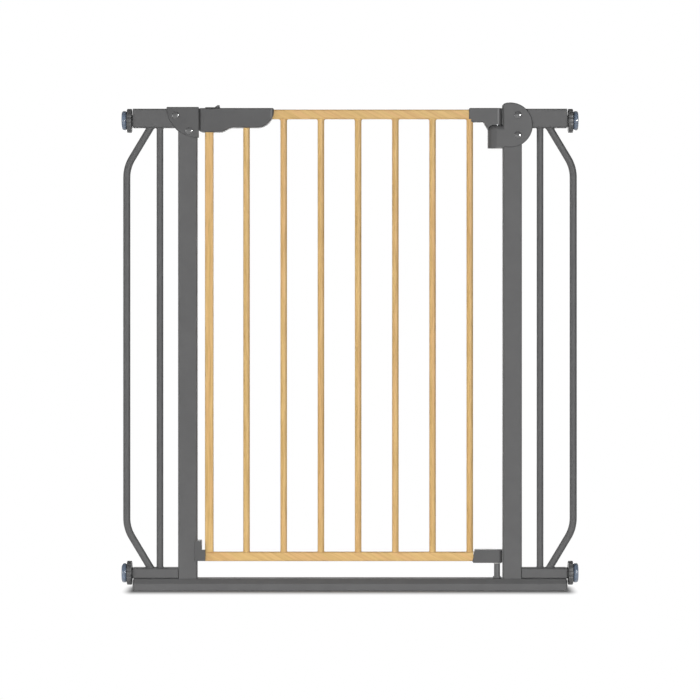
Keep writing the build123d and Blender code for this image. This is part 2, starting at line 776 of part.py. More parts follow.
def latch_stile():
    """Flat-sided upright on the latch side."""
    ring = rounded_ring(latch_stile_width, leaf_depth, leaf_corner, leaf_wall)
    return extrude(Pos(latch_stile_x, 0, bottom_rail_top) * ring, amount=top_rail_bottom - bottom_rail_top)


def leaf_bar(x):
    """Round upright welded between the leaf's rails."""
    return Pos(x, 0, 0) * bar_with_beads(
        leaf_bar_diameter, leaf_wall, bottom_rail_top, top_rail_bottom, leaf_bottom_bead, leaf_top_bead)


def latch_tongue():
    """Plug in the bottom rail whose tongue drops behind the lower catch."""
    inset = 2 * (leaf_wall + cap_play)
    plug = RectangleRounded(leaf_depth - inset, bottom_rail_height - inset, leaf_corner - leaf_wall)
    body = extrude(along_x(leaf_left, tongue_z) * plug, amount=tongue_insert)
    tongue = block((leaf_left - tongue_reach, leaf_left), (-tongue_depth / 2, tongue_depth / 2),
                   (tongue_z - tongue_height / 2, tongue_z + tongue_height / 2))
    tongue = fillet(tongue.faces().sort_by(Axis.X)[0].edges(), tongue_depth / 6)
    return body + tongue


# ---------------------------------------------------------------- handle and latch
def handle_outline(inset):
    """Front view of the handle, deeper over the latch stile."""
    lobe_end = nose_x + handle_lobe_end
    points = [
        (nose_x + inset, handle_top - inset), (handle_end - inset, handle_top - inset),
        (handle_end - inset, handle_bottom + inset), (lobe_end + handle_step, handle_bottom + inset),
        (lobe_end, handle_lobe_bottom + inset), (nose_x + inset, handle_lobe_bottom + inset),
    ]
    radii = [handle_top_round, handle_tip_round, handle_end_round, handle_step_round, handle_step_round,
             handle_lobe_round]
    return closed_outline(points, [max(radius - inset, 0) for radius in radii[:3]] + radii[3:5]
                          + [handle_lobe_round - inset])


def handle_body(inset, edge=0):
    """Handle's outline made solid, its face edges bevelled and its nose rounded in plan."""
    half_depth = handle_depth / 2 - inset
    side_view = extrude(across(0, 0) * handle_outline(inset), amount=half_depth, both=True)
    if edge:
        side_view = chamfer(side_view.faces().filter_by(Axis.Y).edges(), edge)
    left = nose_x + inset
    right = handle_end - inset
    nose_round = handle_nose_round - inset
    end_round = handle_nose_round / 2 - inset
    plan = closed_outline(
        [(left, half_depth), (left, -half_depth), (right, -half_depth), (right, half_depth)],
        [nose_round, nose_round, end_round, end_round])
    return side_view & extrude(Pos(0, 0, handle_lobe_bottom) * plan, amount=2 * handle_height)


def handle_screw_places():
    """Two screws below the rail, clear of the stile and the first bar."""
    low = handle_bottom + 2 * handle_wall + small_screw_shank / 2
    return (
        (latch_stile_x + latch_stile_width, handle_lobe_bottom + 2 * handle_wall + small_screw_shank),
        (latch_stile_x + bar_pitch + leaf_bar_diameter, low),
    )


def handle_shells():
    """Front and back halves of the handle, hollow around the rail and the bolt."""
    shell = handle_body(0, handle_edge) - handle_body(handle_wall)
    track = SlotOverall(track_length, track_width)
    shell += extrude(Pos(track_x, 0, handle_top - handle_wall) * track, amount=handle_wall + track_rise)
    for x, z in handle_screw_places():
        shell += across(x, z) * Cylinder(small_screw_shank, handle_depth - handle_wall)
    bar_hole = Pos(latch_stile_x + bar_pitch, 0, handle_lobe_bottom) * Cylinder(
        leaf_bar_diameter / 2, top_rail_bottom - handle_lobe_bottom, align=BASE)
    stile = extrude(Pos(latch_stile_x, 0, bottom_rail_top)
                    * RectangleRounded(latch_stile_width, leaf_depth, leaf_corner),
                    amount=top_rail_bottom - bottom_rail_top)
    mouth = block((nose_x - 1, leaf_left), (-bolt_depth / 2 - moving_gap, bolt_depth / 2 + moving_gap),
                  (bolt_z - bolt_height / 2 - moving_gap, bolt_z + bolt_height / 2 + moving_gap))
    shell = shell - top_rail_envelope() - bar_hole - stile - stem_slot() - mouth
    for x, z in handle_screw_places():
        shell -= across(x, z) * screw_hole()
    return front_half(shell), back_half(shell)


def screw_hole():
    """Hole for a small screw that enters from behind."""
    seat = handle_depth / 2 - small_screw_head_height
    shank = Pos(0, 0, -seat) * Cylinder(small_screw_shank / 2, 2 * seat, align=BASE)
    head = Pos(0, 0, -seat) * Cylinder(small_screw_head / 2, handle_depth, align=TOP)
    return shank + head


def handle_screws():
    """Screws that pull the two handle shells together from behind."""
    seat = handle_depth / 2 - small_screw_head_height
    one = screw(small_screw_head, small_screw_head_height, small_screw_shank, 2 * seat)
    return [across(x, z) * Pos(0, 0, -seat) * Rot(180, 0, 0) * one for x, z in handle_screw_places()]


def latch_bolt():
    """Flat bolt that slides inside the top rail, narrow where it leaves the nose."""
    inset = 2 * (leaf_wall + moving_gap)
    body = RectangleRounded(leaf_depth - inset, top_rail_height - inset, leaf_corner - leaf_wall)
    bolt = extrude(along_x(bolt_tip + bolt_shoulder, bolt_z) * body, amount=bolt_length - bolt_shoulder)
    nose = extrude(along_x(bolt_tip, bolt_z) * Rectangle(bolt_depth, bolt_height), amount=bolt_shoulder)
    nose = chamfer(nose.faces().sort_by(Axis.X)[0].edges(), bolt_depth / 6)
    return bolt + nose - stem()


def stem():
    """Stem of the latch button, down into the bolt."""
    half_stem = bolt_stem / 2
    ends = (nub_x - bolt_stem_length / 2, nub_x + bolt_stem_length / 2)
    return block(ends, (-half_stem, half_stem), (bolt_z, handle_top + track_rise + moving_gap))


def latch_button():
    """Thumb nub on the handle's top, with its stem."""
    low = handle_top + track_rise + moving_gap
    left = nub_x - nub_length / 2
    right = nub_x + nub_length / 2
    high = low + nub_rise
    points = [(left - nub_rise, low), (right, low), (right, high), (left + nub_length / 3, high)]
    nub = extrude(across(0, 0) * closed_outline(points, [0, 0, nub_rise / 5, nub_rise / 5]),
                  amount=nub_width / 2, both=True)
    return nub + stem()


def cover_outline(lip, inset):
    """Quarter-round plate over the post and top arm, or the room inside its rim."""
    right = -post_inner + lip
    top = frame_height + cover_overlap
    width = cover_width + lip - cover_lip
    quarter = Ellipse(width - inset, cover_height - inset) & Rectangle(
        2 * cover_width, 2 * cover_height, align=(Align.MAX, Align.MAX))
    if inset:
        return Pos(right, top) * quarter & Pos(right - inset, top - inset) * Rectangle(
            2 * cover_width, 2 * cover_height, align=(Align.MAX, Align.MAX))
    plate = Pos(right, top) * quarter
    return fillet(plate.vertices(), cover_corner)


def tube_silhouette(side):
    """Front view of a post with its top arm."""
    upright = Pos(side * post_x, frame_height / 2) * Rectangle(post_width, frame_height)
    arm_middle = Pos(side * (post_outer + arm_length / 2), frame_height - top_arm_height / 2)
    return upright + arm_middle * Rectangle(arm_length, top_arm_height)


def cover_shell(lip):
    """Front cover before its screw holes: a plate on the tubes, and a rim beside them."""
    outline = cover_outline(lip, 0)
    plate = extrude(across(0, 0) * Pos(0, 0, half_frame) * outline, amount=half_housing - half_frame)
    plate = chamfer(plate.faces().sort_by(Axis.Y)[0].edges(), housing_edge)
    passage = Pos(0, frame_height) * Rectangle(passage_width, 4 * cover_height)
    rim = outline - cover_outline(lip, cover_rim) - tube_silhouette(-1) - passage
    return plate + extrude(across(0, 0) * rim, amount=half_frame)


def strike_covers():
    """Front and back covers; only the front one's lip passes the post, as the leaf's stop."""
    front = cover_shell(cover_lip)
    back = mirror(cover_shell(0), Plane.XZ)
    for x, z in cover_screw_places:
        front -= across(x, z) * cover_screw_bore()
        back -= across(x, z) * cover_screw_bore()
    return front, back


def cover_screws():
    """Domed screws through both covers and through the hinge housing."""
    one = screw(cover_screw_head, cover_screw_head_height, cover_screw_shank, cover_screw_length)
    places = cover_screw_places + housing_screw_places
    return [across(x, z) * Pos(0, 0, half_housing) * one for x, z in places]


def strike_keeper():
    """Moulded insert in the post that receives the bolt and blocks the lift."""
    inset = frame_wall + cap_play
    depth = half_frame - inset
    right = -post_inner - frame_wall
    body = block((right - keeper_length, right), (-depth, depth), (bolt_z - keeper_height / 2, frame_height))
    body = fillet(body.edges().filter_by(Axis.Z), frame_corner - frame_wall)
    x, z = cover_screw_places[1]
    pocket = block((right - keeper_depth, right), (-bolt_depth / 2 - moving_gap, bolt_depth / 2 + moving_gap),
                   (bolt_z - bolt_height / 2 - moving_gap, bolt_z + bolt_height / 2 + moving_gap))
    return body - pocket - across(x, z) * Cylinder(cover_screw_shank / 2, 2 * frame_depth)


def catch_screw_heights():
    """Heights of the two screws in the lower catch."""
    return catch_bottom + catch_height - catch_screw_top, catch_bottom + catch_screw_bottom


def lower_catch():
    """Bracket on the left post: a stop in front of the leaf and a shelf under its tongue."""
    half_catch = catch_depth / 2
    back = -post_inner
    whole = (catch_bottom, catch_bottom + catch_height)
    body = block((back, back + catch_body), (-half_catch, half_frame), whole)
    wall_back = -half_leaf - 2 * moving_gap
    stop = block((back, back + catch_reach), (-half_catch, wall_back),
                 (catch_bottom, catch_bottom + catch_low_height))
    shelf_end = leaf_left - 2 * moving_gap
    shelf = block((back, shelf_end), (-half_catch, half_leaf), (catch_bottom, catch_bottom + catch_shelf))
    wrap = block((back - catch_wrap, back), (-half_catch, -half_frame), whole)
    outer = fillet((body + stop + wrap).edges().filter_by(Axis.Z).sort_by(Axis.Y)[0:2], arm_edge)
    bracket = outer + shelf
    sink = Cylinder(small_screw_head / 2 + moving_gap, small_screw_head_height, align=TOP)
    for z in catch_screw_heights():
        bracket -= along_x(back, z) * Cylinder(small_screw_shank / 2, 4 * catch_body)
        bracket -= along_x(back + catch_body, z) * sink
    return bracket


def lower_catch_screws():
    """Two screws that hold the catch to the post."""
    seat = catch_body - small_screw_head_height
    one = screw(small_screw_head, small_screw_head_height, small_screw_shank, seat + 2 * frame_wall)
    return [along_x(-post_inner + seat, z) * one for z in catch_screw_heights()]


def hinge_arm_screws():
    """Screws from behind that pin both hinge arms to the leaf's rails."""
    one = screw(small_screw_head, small_screw_head_height, small_screw_shank, half_leaf)
    return [seat * Rot(180, 0, 0) * one for seat in (upper_arm_screw_seat(), lower_arm_screw_seat())]


# ---------------------------------------------------------------- assembly
def all_pieces():
    """Every node of the gate by name."""
    pieces = {
        "floor_rail": floor_rail(), "rail_end_caps": rail_end_caps(),
        "left_post": left_post(), "right_post": right_post(),
        "post_base_screws": post_base_screws(), "spindle_plugs": spindle_plugs(),
        "strike_keeper": strike_keeper(), "cover_screws": cover_screws(),
        "lower_catch": lower_catch(), "lower_catch_screws": lower_catch_screws(),
        "hinge_bush": hinge_bush(), "closing_spring": closing_spring(),
        "rail_bush": rail_bush(), "hinge_spindle": hinge_spindle(), "spindle_clip": spindle_clip(),
        "hinge_washer": hinge_washer(), "upper_hinge_arm": upper_hinge_arm(),
        "upper_hinge_pin": upper_hinge_pin(), "lower_hinge_arm": lower_hinge_arm(),
        "top_rail": top_rail(), "bottom_rail": bottom_rail(), "latch_stile": latch_stile(),
        "hinge_stile": leaf_bar(hinge_stile_x), "latch_tongue": latch_tongue(),
        "handle_screws": handle_screws(), "hinge_arm_screws": hinge_arm_screws(),
        "latch_bolt": latch_bolt(), "latch_button": latch_button(),
    }
    pieces["strike_cover_front"], pieces["strike_cover_back"] = strike_covers()
    pieces["handle_front"], pieces["handle_back"] = handle_shells()
    housing = hinge_housing()
    pieces["hinge_housing_front"] = front_half(housing)
    pieces["hinge_housing_back"] = back_half(housing)
    for number in range(1, leaf_bar_count + 1):
        pieces[f"leaf_bar_{number}"] = leaf_bar(latch_stile_x + number * bar_pitch)
    for side, hand in ((-1, "left"), (1, "right")):
        pieces[f"{hand}_top_arm"] = top_arm(side)
        pieces[f"{hand}_bottom_arm"] = arm(side, bottom_arm_height, bottom_rod_z)
        pieces[f"{hand}_straight_bar"] = straight_bar(side)
        pieces[f"{hand}_bent_bar"] = bent_bar(side)
        for level, rod_z in (("top", top_rod_z), ("bottom", bottom_rod_z)):
            pieces[f"{hand}_{level}_wheel"] = along_x(side * wheel_inner, rod_z, side) * hand_wheel()
            pieces[f"{hand}_{level}_rod"] = along_x(side * pad_inner, rod_z, side) * wall_rod()
            pieces[f"{hand}_{level}_pad"] = along_x(side * pad_inner, rod_z, side) * wall_pad()
    return pieces


os.makedirs("parts", exist_ok=True)
for name, piece in all_pieces().items():
    shapes = piece if isinstance(piece, list) else [piece]
    solids = [solid for shape in shapes for solid in shape.solids()]
    export_step(Compound(children=solids), f"parts/{name}.step")
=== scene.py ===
"""Finishes, moulded and welded detail, light and camera for a pressure-fit safety gate.

Everything stands in the frame's own coordinates, in metres: +X towards the hinge, +Z up, front towards -Y.
"""
import json
from math import atan2, cos, hypot, pi, radians, sin, tan, tau

import bmesh
import bpy
from bpy.props import FloatProperty, FloatVectorProperty, IntProperty, PointerProperty
from mathutils import Matrix, Vector


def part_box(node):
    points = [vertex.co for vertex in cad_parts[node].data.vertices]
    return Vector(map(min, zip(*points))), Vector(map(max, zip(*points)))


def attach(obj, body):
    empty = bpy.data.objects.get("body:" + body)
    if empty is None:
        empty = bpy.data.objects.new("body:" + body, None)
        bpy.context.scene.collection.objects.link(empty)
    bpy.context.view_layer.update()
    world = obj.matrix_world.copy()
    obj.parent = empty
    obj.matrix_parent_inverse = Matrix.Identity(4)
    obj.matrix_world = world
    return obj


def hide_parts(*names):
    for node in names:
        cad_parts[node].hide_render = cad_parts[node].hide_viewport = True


bl_info = {
    "name": "Safety Gate",
    "version": (1, 0, 0),
    "blender": (4, 5, 0),
    "location": "3D View > Sidebar > Safety Gate",
    "description": "Finishes and detailed pieces for a pressure-fit safety gate",
    "category": "Object",
}

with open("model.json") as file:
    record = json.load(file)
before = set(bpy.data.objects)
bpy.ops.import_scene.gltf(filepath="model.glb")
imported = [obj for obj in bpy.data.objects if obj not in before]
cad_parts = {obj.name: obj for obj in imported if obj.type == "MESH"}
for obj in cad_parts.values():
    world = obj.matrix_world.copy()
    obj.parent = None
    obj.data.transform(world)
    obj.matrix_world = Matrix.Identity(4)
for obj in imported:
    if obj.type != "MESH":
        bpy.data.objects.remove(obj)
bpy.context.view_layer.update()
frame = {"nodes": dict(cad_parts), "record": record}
NODES = frame["nodes"]
BODY_OF = {node: body for body, nodes in frame["record"]["behaviour"]["bodies"].items() for node in nodes}
SLOT_OF = {part["node"]: part["material_slot"] for part in frame["record"]["subparts"]}
MM = 0.001
MERGE_CAD = 0.002 * MM       # corners of a CAD copy this close are one
MERGE_SPUN = 1e-7            # the same where a spun shape closes
LEVEL = 1e-6                 # corners this close in height are level
JOINED = radians(0.5)        # faces flatter to each other than this become one
SHARP = radians(28)          # edges sharper than this are rounded over
LOOP_INSET = 0.2 * MM        # room for a new loop of corners before it is set on its circle


# -------- sizes and colours
class GateSizes(bpy.types.PropertyGroup):
    """Sizes of the detail that the construction leaves plain."""

    round_segments: IntProperty(
        name="Round Segments", description="Faces around a round bar", default=40, min=12, max=96)
    moulded_edge: FloatProperty(
        name="Moulded Edge", description="Radius on the edges of moulded pieces",
        default=1.1 * MM, min=0, unit="LENGTH")
    small_edge: FloatProperty(
        name="Small Edge", description="Radius on the edges of small pieces",
        default=0.3 * MM, min=0, unit="LENGTH")
    weld_steps: IntProperty(
        name="Weld Steps", description="Faces along the hollow curve of a weld", default=5, min=1, max=12)
    weld_sink: FloatProperty(
        name="Weld Sink", description="How far a weld runs down over its rail's rounded edge",
        default=0.9 * MM, min=0, unit="LENGTH")
    leaf_bar: FloatProperty(
        name="Leaf Bar", description="Diameter of the leaf's round bars",
        default=10.5 * MM, min=1 * MM, unit="LENGTH")
    straight_bar: FloatProperty(
        name="Straight Bar", description="Diameter of the frame's straight bars",
        default=10.7 * MM, min=1 * MM, unit="LENGTH")
    bent_bar: FloatProperty(
        name="Bent Bar", description="Diameter of the frame's bent bars",
        default=11.3 * MM, min=1 * MM, unit="LENGTH")
    weld: FloatProperty(
        name="Weld", description="How far a weld spreads round the end of a frame bar",
        default=2.5 * MM, min=0, unit="LENGTH")
    bottom_weld: FloatProperty(
        name="Bottom Weld", description="The same over the leaf's bottom rail",
        default=1.5 * MM, min=0, unit="LENGTH")
    top_weld: FloatProperty(
        name="Top Weld", description="The same under the leaf's top rail",
        default=3 * MM, min=0, unit="LENGTH")
    bend_radius: FloatProperty(
        name="Bend Radius", description="Radius of the bent bars at their middle line",
        default=58 * MM, min=0, unit="LENGTH")
    bend_drop: FloatProperty(
        name="Bend Drop", description="Height of each slanted run of a bent bar",
        default=62.2 * MM, min=0, unit="LENGTH")
    bend_reach: FloatProperty(
        name="Bend Reach", description="From a bent bar's foot out to its upright run",
        default=37.3 * MM, min=0, unit="LENGTH")
    bend_steps: IntProperty(
        name="Bend Steps", description="Faces along each bend", default=12, min=2, max=48)
    wheel_lobes: IntProperty(
        name="Wheel Lobes", description="Finger grips around a hand wheel", default=12, min=3, max=24)
    wheel_lobe_depth: FloatProperty(
        name="Lobe Depth", description="Depth of the hollows between two grips",
        default=1.1 * MM, min=0, unit="LENGTH")
    wheel_rim: FloatProperty(
        name="Wheel Rim", description="Width of the raised rim round a wheel's dished face",
        default=3.2 * MM, min=0, unit="LENGTH")
    wheel_dish: FloatProperty(
        name="Wheel Dish", description="Depth of the dished face",
        default=1.2 * MM, min=0, unit="LENGTH")
    wheel_hub: FloatProperty(
        name="Wheel Hub", description="Diameter of the hub", default=18 * MM, min=0, unit="LENGTH")
    wheel_hub_lift: FloatProperty(
        name="Hub Lift", description="How far the hub stands out towards the arm",
        default=1.7 * MM, min=0, unit="LENGTH")
    rod_bore: FloatProperty(
        name="Rod Bore", description="Hole through a wheel", default=8.8 * MM, min=0, unit="LENGTH")
    pad_edge: FloatProperty(
        name="Pad Edge", description="Radius round the rims of a wall pad",
        default=3.2 * MM, min=0, unit="LENGTH")
    pad_ring: FloatProperty(
        name="Pad Ring", description="From a pad's rim to the shallow ring in its face",
        default=4.5 * MM, min=0, unit="LENGTH")
    barrel_shoulder: FloatProperty(
        name="Barrel Shoulder", description="Radius round the top of the hinge's barrel",
        default=8.5 * MM, min=0, unit="LENGTH")
    plate_face: FloatProperty(
        name="Plate Face", description="From the hinge post's inner face to the round plate's upright edge",
        default=0.7 * MM, min=0, unit="LENGTH")
    plate_bevel: FloatProperty(
        name="Plate Bevel", description="Bevel round the round plate", default=1.2 * MM, min=0, unit="LENGTH")
    stop_gap: FloatProperty(
        name="Stop Gap", description="Gap between the open arm's back and the hinge housing",
        default=0.05 * MM, min=0, unit="LENGTH")
    arm_lip: FloatProperty(
        name="Arm Lip", description="How far the hinge arm's back edge reaches over the barrel's shoulder",
        default=0.25 * MM, min=0, unit="LENGTH")
    arm_lip_depth: FloatProperty(
        name="Arm Lip Depth", description="Depth of that lip at the arm's back",
        default=2.5 * MM, min=0, unit="LENGTH")
    dome_height: FloatProperty(
        name="Dome Height", description="Height of a cover screw's head",
        default=2.4 * MM, min=0, unit="LENGTH")
    dome_shank: FloatProperty(
        name="Dome Shank", description="Diameter of a cover screw's shank",
        default=4 * MM, min=0, unit="LENGTH")
    pan_height: FloatProperty(
        name="Pan Height", description="Height of a small screw's head",
        default=1.8 * MM, min=0, unit="LENGTH")
    pan_shank: FloatProperty(
        name="Pan Shank", description="Diameter of a small screw's shank",
        default=3 * MM, min=0, unit="LENGTH")
    thread_pitch: FloatProperty(
        name="Thread Pitch", description="Rise of the spindle's thread in one turn",
        default=3 * MM, min=0.5 * MM, unit="LENGTH")
    thread_depth: FloatProperty(
        name="Thread Depth", description="Crest to root of the spindle's thread",
        default=0.8 * MM, min=0, unit="LENGTH")


class GateColours(bpy.types.PropertyGroup):
    """Colours of the finishes, linear."""

    frame_coat: FloatVectorProperty(
        name="Frame Coat", description="Powder coat on the steel frame",
        subtype="COLOR", size=3, min=0, max=1, default=(0.128, 0.128, 0.129))
    moulded: FloatVectorProperty(
        name="Moulded Plastic", description="Covers, handle, housing and arms",
        subtype="COLOR", size=3, min=0, max=1, default=(0.105, 0.105, 0.106))
    wheel: FloatVectorProperty(
        name="Hand Wheel", description="Plastic of the hand wheels",
        subtype="COLOR", size=3, min=0, max=1, default=(0.098, 0.099, 0.100))
    wood_light: FloatVectorProperty(
        name="Wood Light", description="Pale wood between the grain lines",
        subtype="COLOR", size=3, min=0, max=1, default=(0.755, 0.505, 0.205))
    wood_dark: FloatVectorProperty(
        name="Wood Dark", description="Grain lines of the wood-look coat",
        subtype="COLOR", size=3, min=0, max=1, default=(0.550, 0.338, 0.115))
    wood_rose: FloatVectorProperty(
        name="Wood Rose", description="Warm stripes of the wood-look coat",
        subtype="COLOR", size=3, min=0, max=1, default=(0.755, 0.448, 0.202))
    pad: FloatVectorProperty(
        name="Pad", description="Clear bluish rubber of the wall pads",
        subtype="COLOR", size=3, min=0, max=1, default=(0.16, 0.21, 0.29))
    zinc: FloatVectorProperty(
        name="Zinc", description="Plated screws, rods, pins and the spring",
        subtype="COLOR", size=3, min=0, max=1, default=(0.62, 0.63, 0.65))
    nylon: FloatVectorProperty(
        name="Nylon", description="Bushes and washer",
        subtype="COLOR", size=3, min=0, max=1, default=(0.74, 0.73, 0.69))


class StageSettings(bpy.types.PropertyGroup):
    """Light, floor and camera."""

    camera_distance: FloatProperty(
        name="Camera Distance", description="From the gate's middle plane to the camera",
        default=4.7, min=0.5, unit="LENGTH")
    camera_height: FloatProperty(
        name="Camera Height", description="Above the floor", default=0.486, unit="LENGTH")
    view_height: FloatProperty(
        name="View Height", description="Height on the gate that lies in the middle of the picture",
        default=0.3793, unit="LENGTH")
    view_width: FloatProperty(
        name="View Width", description="Width of the gate's plane that the picture takes in",
        default=1.108, min=0.1, unit="LENGTH")
    front_light: FloatProperty(
        name="Front Light", description="Large soft light beside the camera", default=65, min=0, unit="POWER")
    left_light: FloatProperty(
        name="Left Light", description="Tall strip that draws upright lines on round pieces",
        default=24, min=0, unit="POWER")
    right_light: FloatProperty(
        name="Right Light", description="Light that only sparkles on screws, wheels and pads",
        default=100, min=0, unit="POWER")
    back_light: FloatProperty(
        name="Back Light", description="Large soft light behind the gate", default=24, min=0, unit="POWER")
    ambient: FloatProperty(
        name="Ambient", description="Level of the light from all around", default=0.30, min=0, max=2)
    ceiling: FloatProperty(
        name="Ceiling", description="Share of the light from all around that comes from straight above",
        default=0.24, min=0, max=1)
    # Painted shadow: the floor is this grey right under the rail and fades to white emission over the two
    # reaches below.
    painted_shadow_grey: FloatProperty(
        name="Floor Shade", description="Colour of the floor right under the rail", default=0.42, min=0, max=1)
    # The floor glows as white emission for all but camera rays, strongest at the rail and gone at bounce_reach:
    # a glow that stands in for the light the floor throws back onto the gate's lower parts.
    floor_bounce: FloatProperty(
        name="Floor Bounce", description="Light that the pale floor beside the rail throws back", default=0.5,
        min=0, max=2)
    bounce_reach: FloatProperty(
        name="Bounce Reach", description="How far from the rail the floor throws light back",
        default=0.5, min=0.01, unit="LENGTH")
    # Reaches of the floor's painted shadow round the rail.
    shade_depth: FloatProperty(
        name="Shade Depth", description="How far the floor's shade reaches in front of the rail and behind it",
        default=0.07, min=0.001, unit="LENGTH")
    shade_side: FloatProperty(
        name="Shade Side", description="How far the floor's shade reaches past the rail's ends",
        default=0.021, min=0.001, unit="LENGTH")


# -------- node helpers
def node(tree, kind, inputs=None, **settings):
    """Add a node; an input is a plain value or the output socket that feeds it."""
    made = tree.nodes.new(kind)
    for name, value in settings.items():
        setattr(made, name, value)
    for name, value in (inputs or {}).items():
        if isinstance(value, bpy.types.NodeSocket):
            tree.links.new(value, made.inputs[name])
        else:
            made.inputs[name].default_value = value
    return made


def maths(tree, operation, *values):
    """Result of one sum."""
    return node(tree, "ShaderNodeMath", dict(enumerate(values)), operation=operation).outputs[0]


def vector_maths(tree, operation, *values, output=0):
    """Result of one sum on vectors."""
    return node(tree, "ShaderNodeVectorMath", dict(enumerate(values)), operation=operation).outputs[output]


def ranged(tree, value, given=(0.0, 1.0), wanted=(0.0, 1.0), **settings):
    """Value carried over from one span to another, and held inside it."""
    return node(tree, "ShaderNodeMapRange", {
        "Value": value, "From Min": given[0], "From Max": given[1],
        "To Min": wanted[0], "To Max": wanted[1]}, **settings).outputs[0]


def noise(tree, vector, scale, detail, **more):
    """Outputs of a noise texture."""
    inputs = {"Vector": vector, "Scale": scale, "Detail": detail, **more}
    return node(tree, "ShaderNodeTexNoise", inputs).outputs


def mixed_colour(tree, factor, first, second):
    """Colour that goes from the first to the second with the factor."""
    return node(tree, "ShaderNodeMix", {0: factor, 6: first, 7: second}, data_type="RGBA").outputs[2]


def new_group(name, inputs):
    """Empty node group with (type, name[, default]) inputs that gives a colour, a roughness and a height."""
    group = bpy.data.node_groups.new(name, "ShaderNodeTree")
    for kind, label, *default in inputs:
        socket = group.interface.new_socket(label, in_out="INPUT", socket_type=f"NodeSocket{kind}")
        if default:
            socket.default_value = default[0]
    for kind, label in (("Color", "Colour"), ("Float", "Roughness"), ("Float", "Height")):
        group.interface.new_socket(label, in_out="OUTPUT", socket_type=f"NodeSocket{kind}")
    start = group.nodes.new("NodeGroupInput")
    end = group.nodes.new("NodeGroupOutput")
    return group, start.outputs, end.inputs


def fine_texture_group():
    """Fine bumps and faint mottling, for powder coat and moulded plastic alike."""
    group, given, result = new_group("Fine Texture", (
        ("Vector", "Vector"), ("Color", "Colour"), ("Float", "Bumps per Metre", 900.0),
        ("Float", "Mottle", 0.06), ("Float", "Roughness", 0.5), ("Float", "Roughness Spread", 0.08)))
    links = group.links
    bumps = noise(group, given["Vector"], given["Bumps per Metre"], 3.0, Roughness=0.55)["Fac"]
    clouds = noise(group, given["Vector"], 38.0, 4.0)["Fac"]
    low = maths(group, "SUBTRACT", 1.0, given["Mottle"])
    high = maths(group, "ADD", 1.0, given["Mottle"])
    shade = ranged(group, clouds, (0.3, 0.7), (low, high))
    tinted = node(group, "ShaderNodeVectorMath", {0: given["Colour"], "Scale": shade}, operation="SCALE")
    spread = maths(group, "SUBTRACT", clouds, 0.5)
    rough = maths(group, "MULTIPLY_ADD", spread, given["Roughness Spread"], given["Roughness"])
    links.new(tinted.outputs[0], result["Colour"])
    links.new(rough, result["Roughness"])
    links.new(bumps, result["Height"])
    return group


def wood_grain_group():
    """Printed wood look: long streaks, fine pores and warm stripes along the local Z of its vector."""
    group, given, result = new_group("Wood Grain", (
        ("Vector", "Vector"), ("Color", "Light"), ("Color", "Dark"), ("Color", "Rose"),
        ("Float", "Contrast", 1.0)))
    links = group.links
    wander = noise(group, given["Vector"], 9.0, 2.0)["Color"]
    drift = vector_maths(group, "SUBTRACT", wander, (0.5, 0.5, 0.5))
    bent = vector_maths(group, "MULTIPLY_ADD", drift, (0.010, 0.010, 0.0), given["Vector"])
    stretched = node(group, "ShaderNodeMapping", {"Vector": bent, "Scale": (1.0, 1.0, 0.045)}).outputs[0]
    streaks = noise(group, stretched, 300.0, 3.0, Roughness=0.6)["Fac"]
    stripes = noise(group, stretched, 120.0, 1.0)["Fac"]
    pored = node(group, "ShaderNodeMapping", {"Vector": bent, "Scale": (1.0, 1.0, 0.16)}).outputs[0]
    pores = noise(group, pored, 1500.0, 2.0)["Fac"]
    rosy = maths(group, "MULTIPLY", ranged(group, stripes, (0.46, 0.62)), 0.55)
    base = mixed_colour(group, rosy, given["Light"], given["Rose"])
    darkness = maths(group, "MULTIPLY", ranged(group, streaks, (0.42, 0.66)), given["Contrast"])
    grained = mixed_colour(group, darkness, base, given["Dark"])
    faint = maths(group, "MULTIPLY", ranged(group, pores, (0.60, 0.72)), 0.35)
    finished = mixed_colour(group, faint, grained, given["Dark"])
    links.new(finished, result["Colour"])
    links.new(ranged(group, streaks, wanted=(0.42, 0.58)), result["Roughness"])
    links.new(pores, result["Height"])
    return group


def new_material(name):
    """Empty node material, with its Principled shader and Object coordinates."""
    material = bpy.data.materials.new(name)
    material.use_nodes = True
    tree = material.node_tree
    shader = tree.nodes["Principled BSDF"]
    place = tree.nodes.new("ShaderNodeTexCoord")
    return material, tree, shader, place.outputs["Object"]


def add_bump(tree, shader, height, depth, strength):
    """Drive the shader's normal from a height that is depth metres tall."""
    bump = node(tree, "ShaderNodeBump", {"Height": height, "Distance": depth, "Strength": strength})
    tree.links.new(bump.outputs[0], shader.inputs["Normal"])


# -------- finishes
def grouped_material(name, group_name, build_group, values, turn=None):
    """Material whose colour and roughness come from a shared group, with the height for its bumps."""
    tree, shader, place = new_material(name)[1:]
    if turn:
        place = node(tree, "ShaderNodeMapping", {"Vector": place, "Rotation": turn}).outputs[0]
    group = bpy.data.node_groups.get(group_name) or build_group()
    look = node(tree, "ShaderNodeGroup", {"Vector": place, **values}, node_tree=group).outputs
    tree.links.new(look["Colour"], shader.inputs["Base Color"])
    tree.links.new(look["Roughness"], shader.inputs["Roughness"])
    return tree, shader, look["Height"]


def textured_material(name, colour, bumps, roughness, mottle):
    """Material of one colour with the fine texture."""
    return grouped_material(name, "Fine Texture", fine_texture_group, {
        "Colour": (*colour, 1), "Bumps per Metre": bumps, "Mottle": mottle, "Roughness": roughness})


def textured_finish(name, colour, bumps, depth, roughness, specular, mottle=0.05, metallic=0.0):
    """Finish of one colour with fine bumps, used for the coats, plastics and plated steel."""
    tree, shader, height = textured_material(name, colour, bumps, roughness, mottle)
    shader.inputs["Specular IOR Level"].default_value = specular
    shader.inputs["Metallic"].default_value = metallic
    add_bump(tree, shader, height, depth, 0.6)


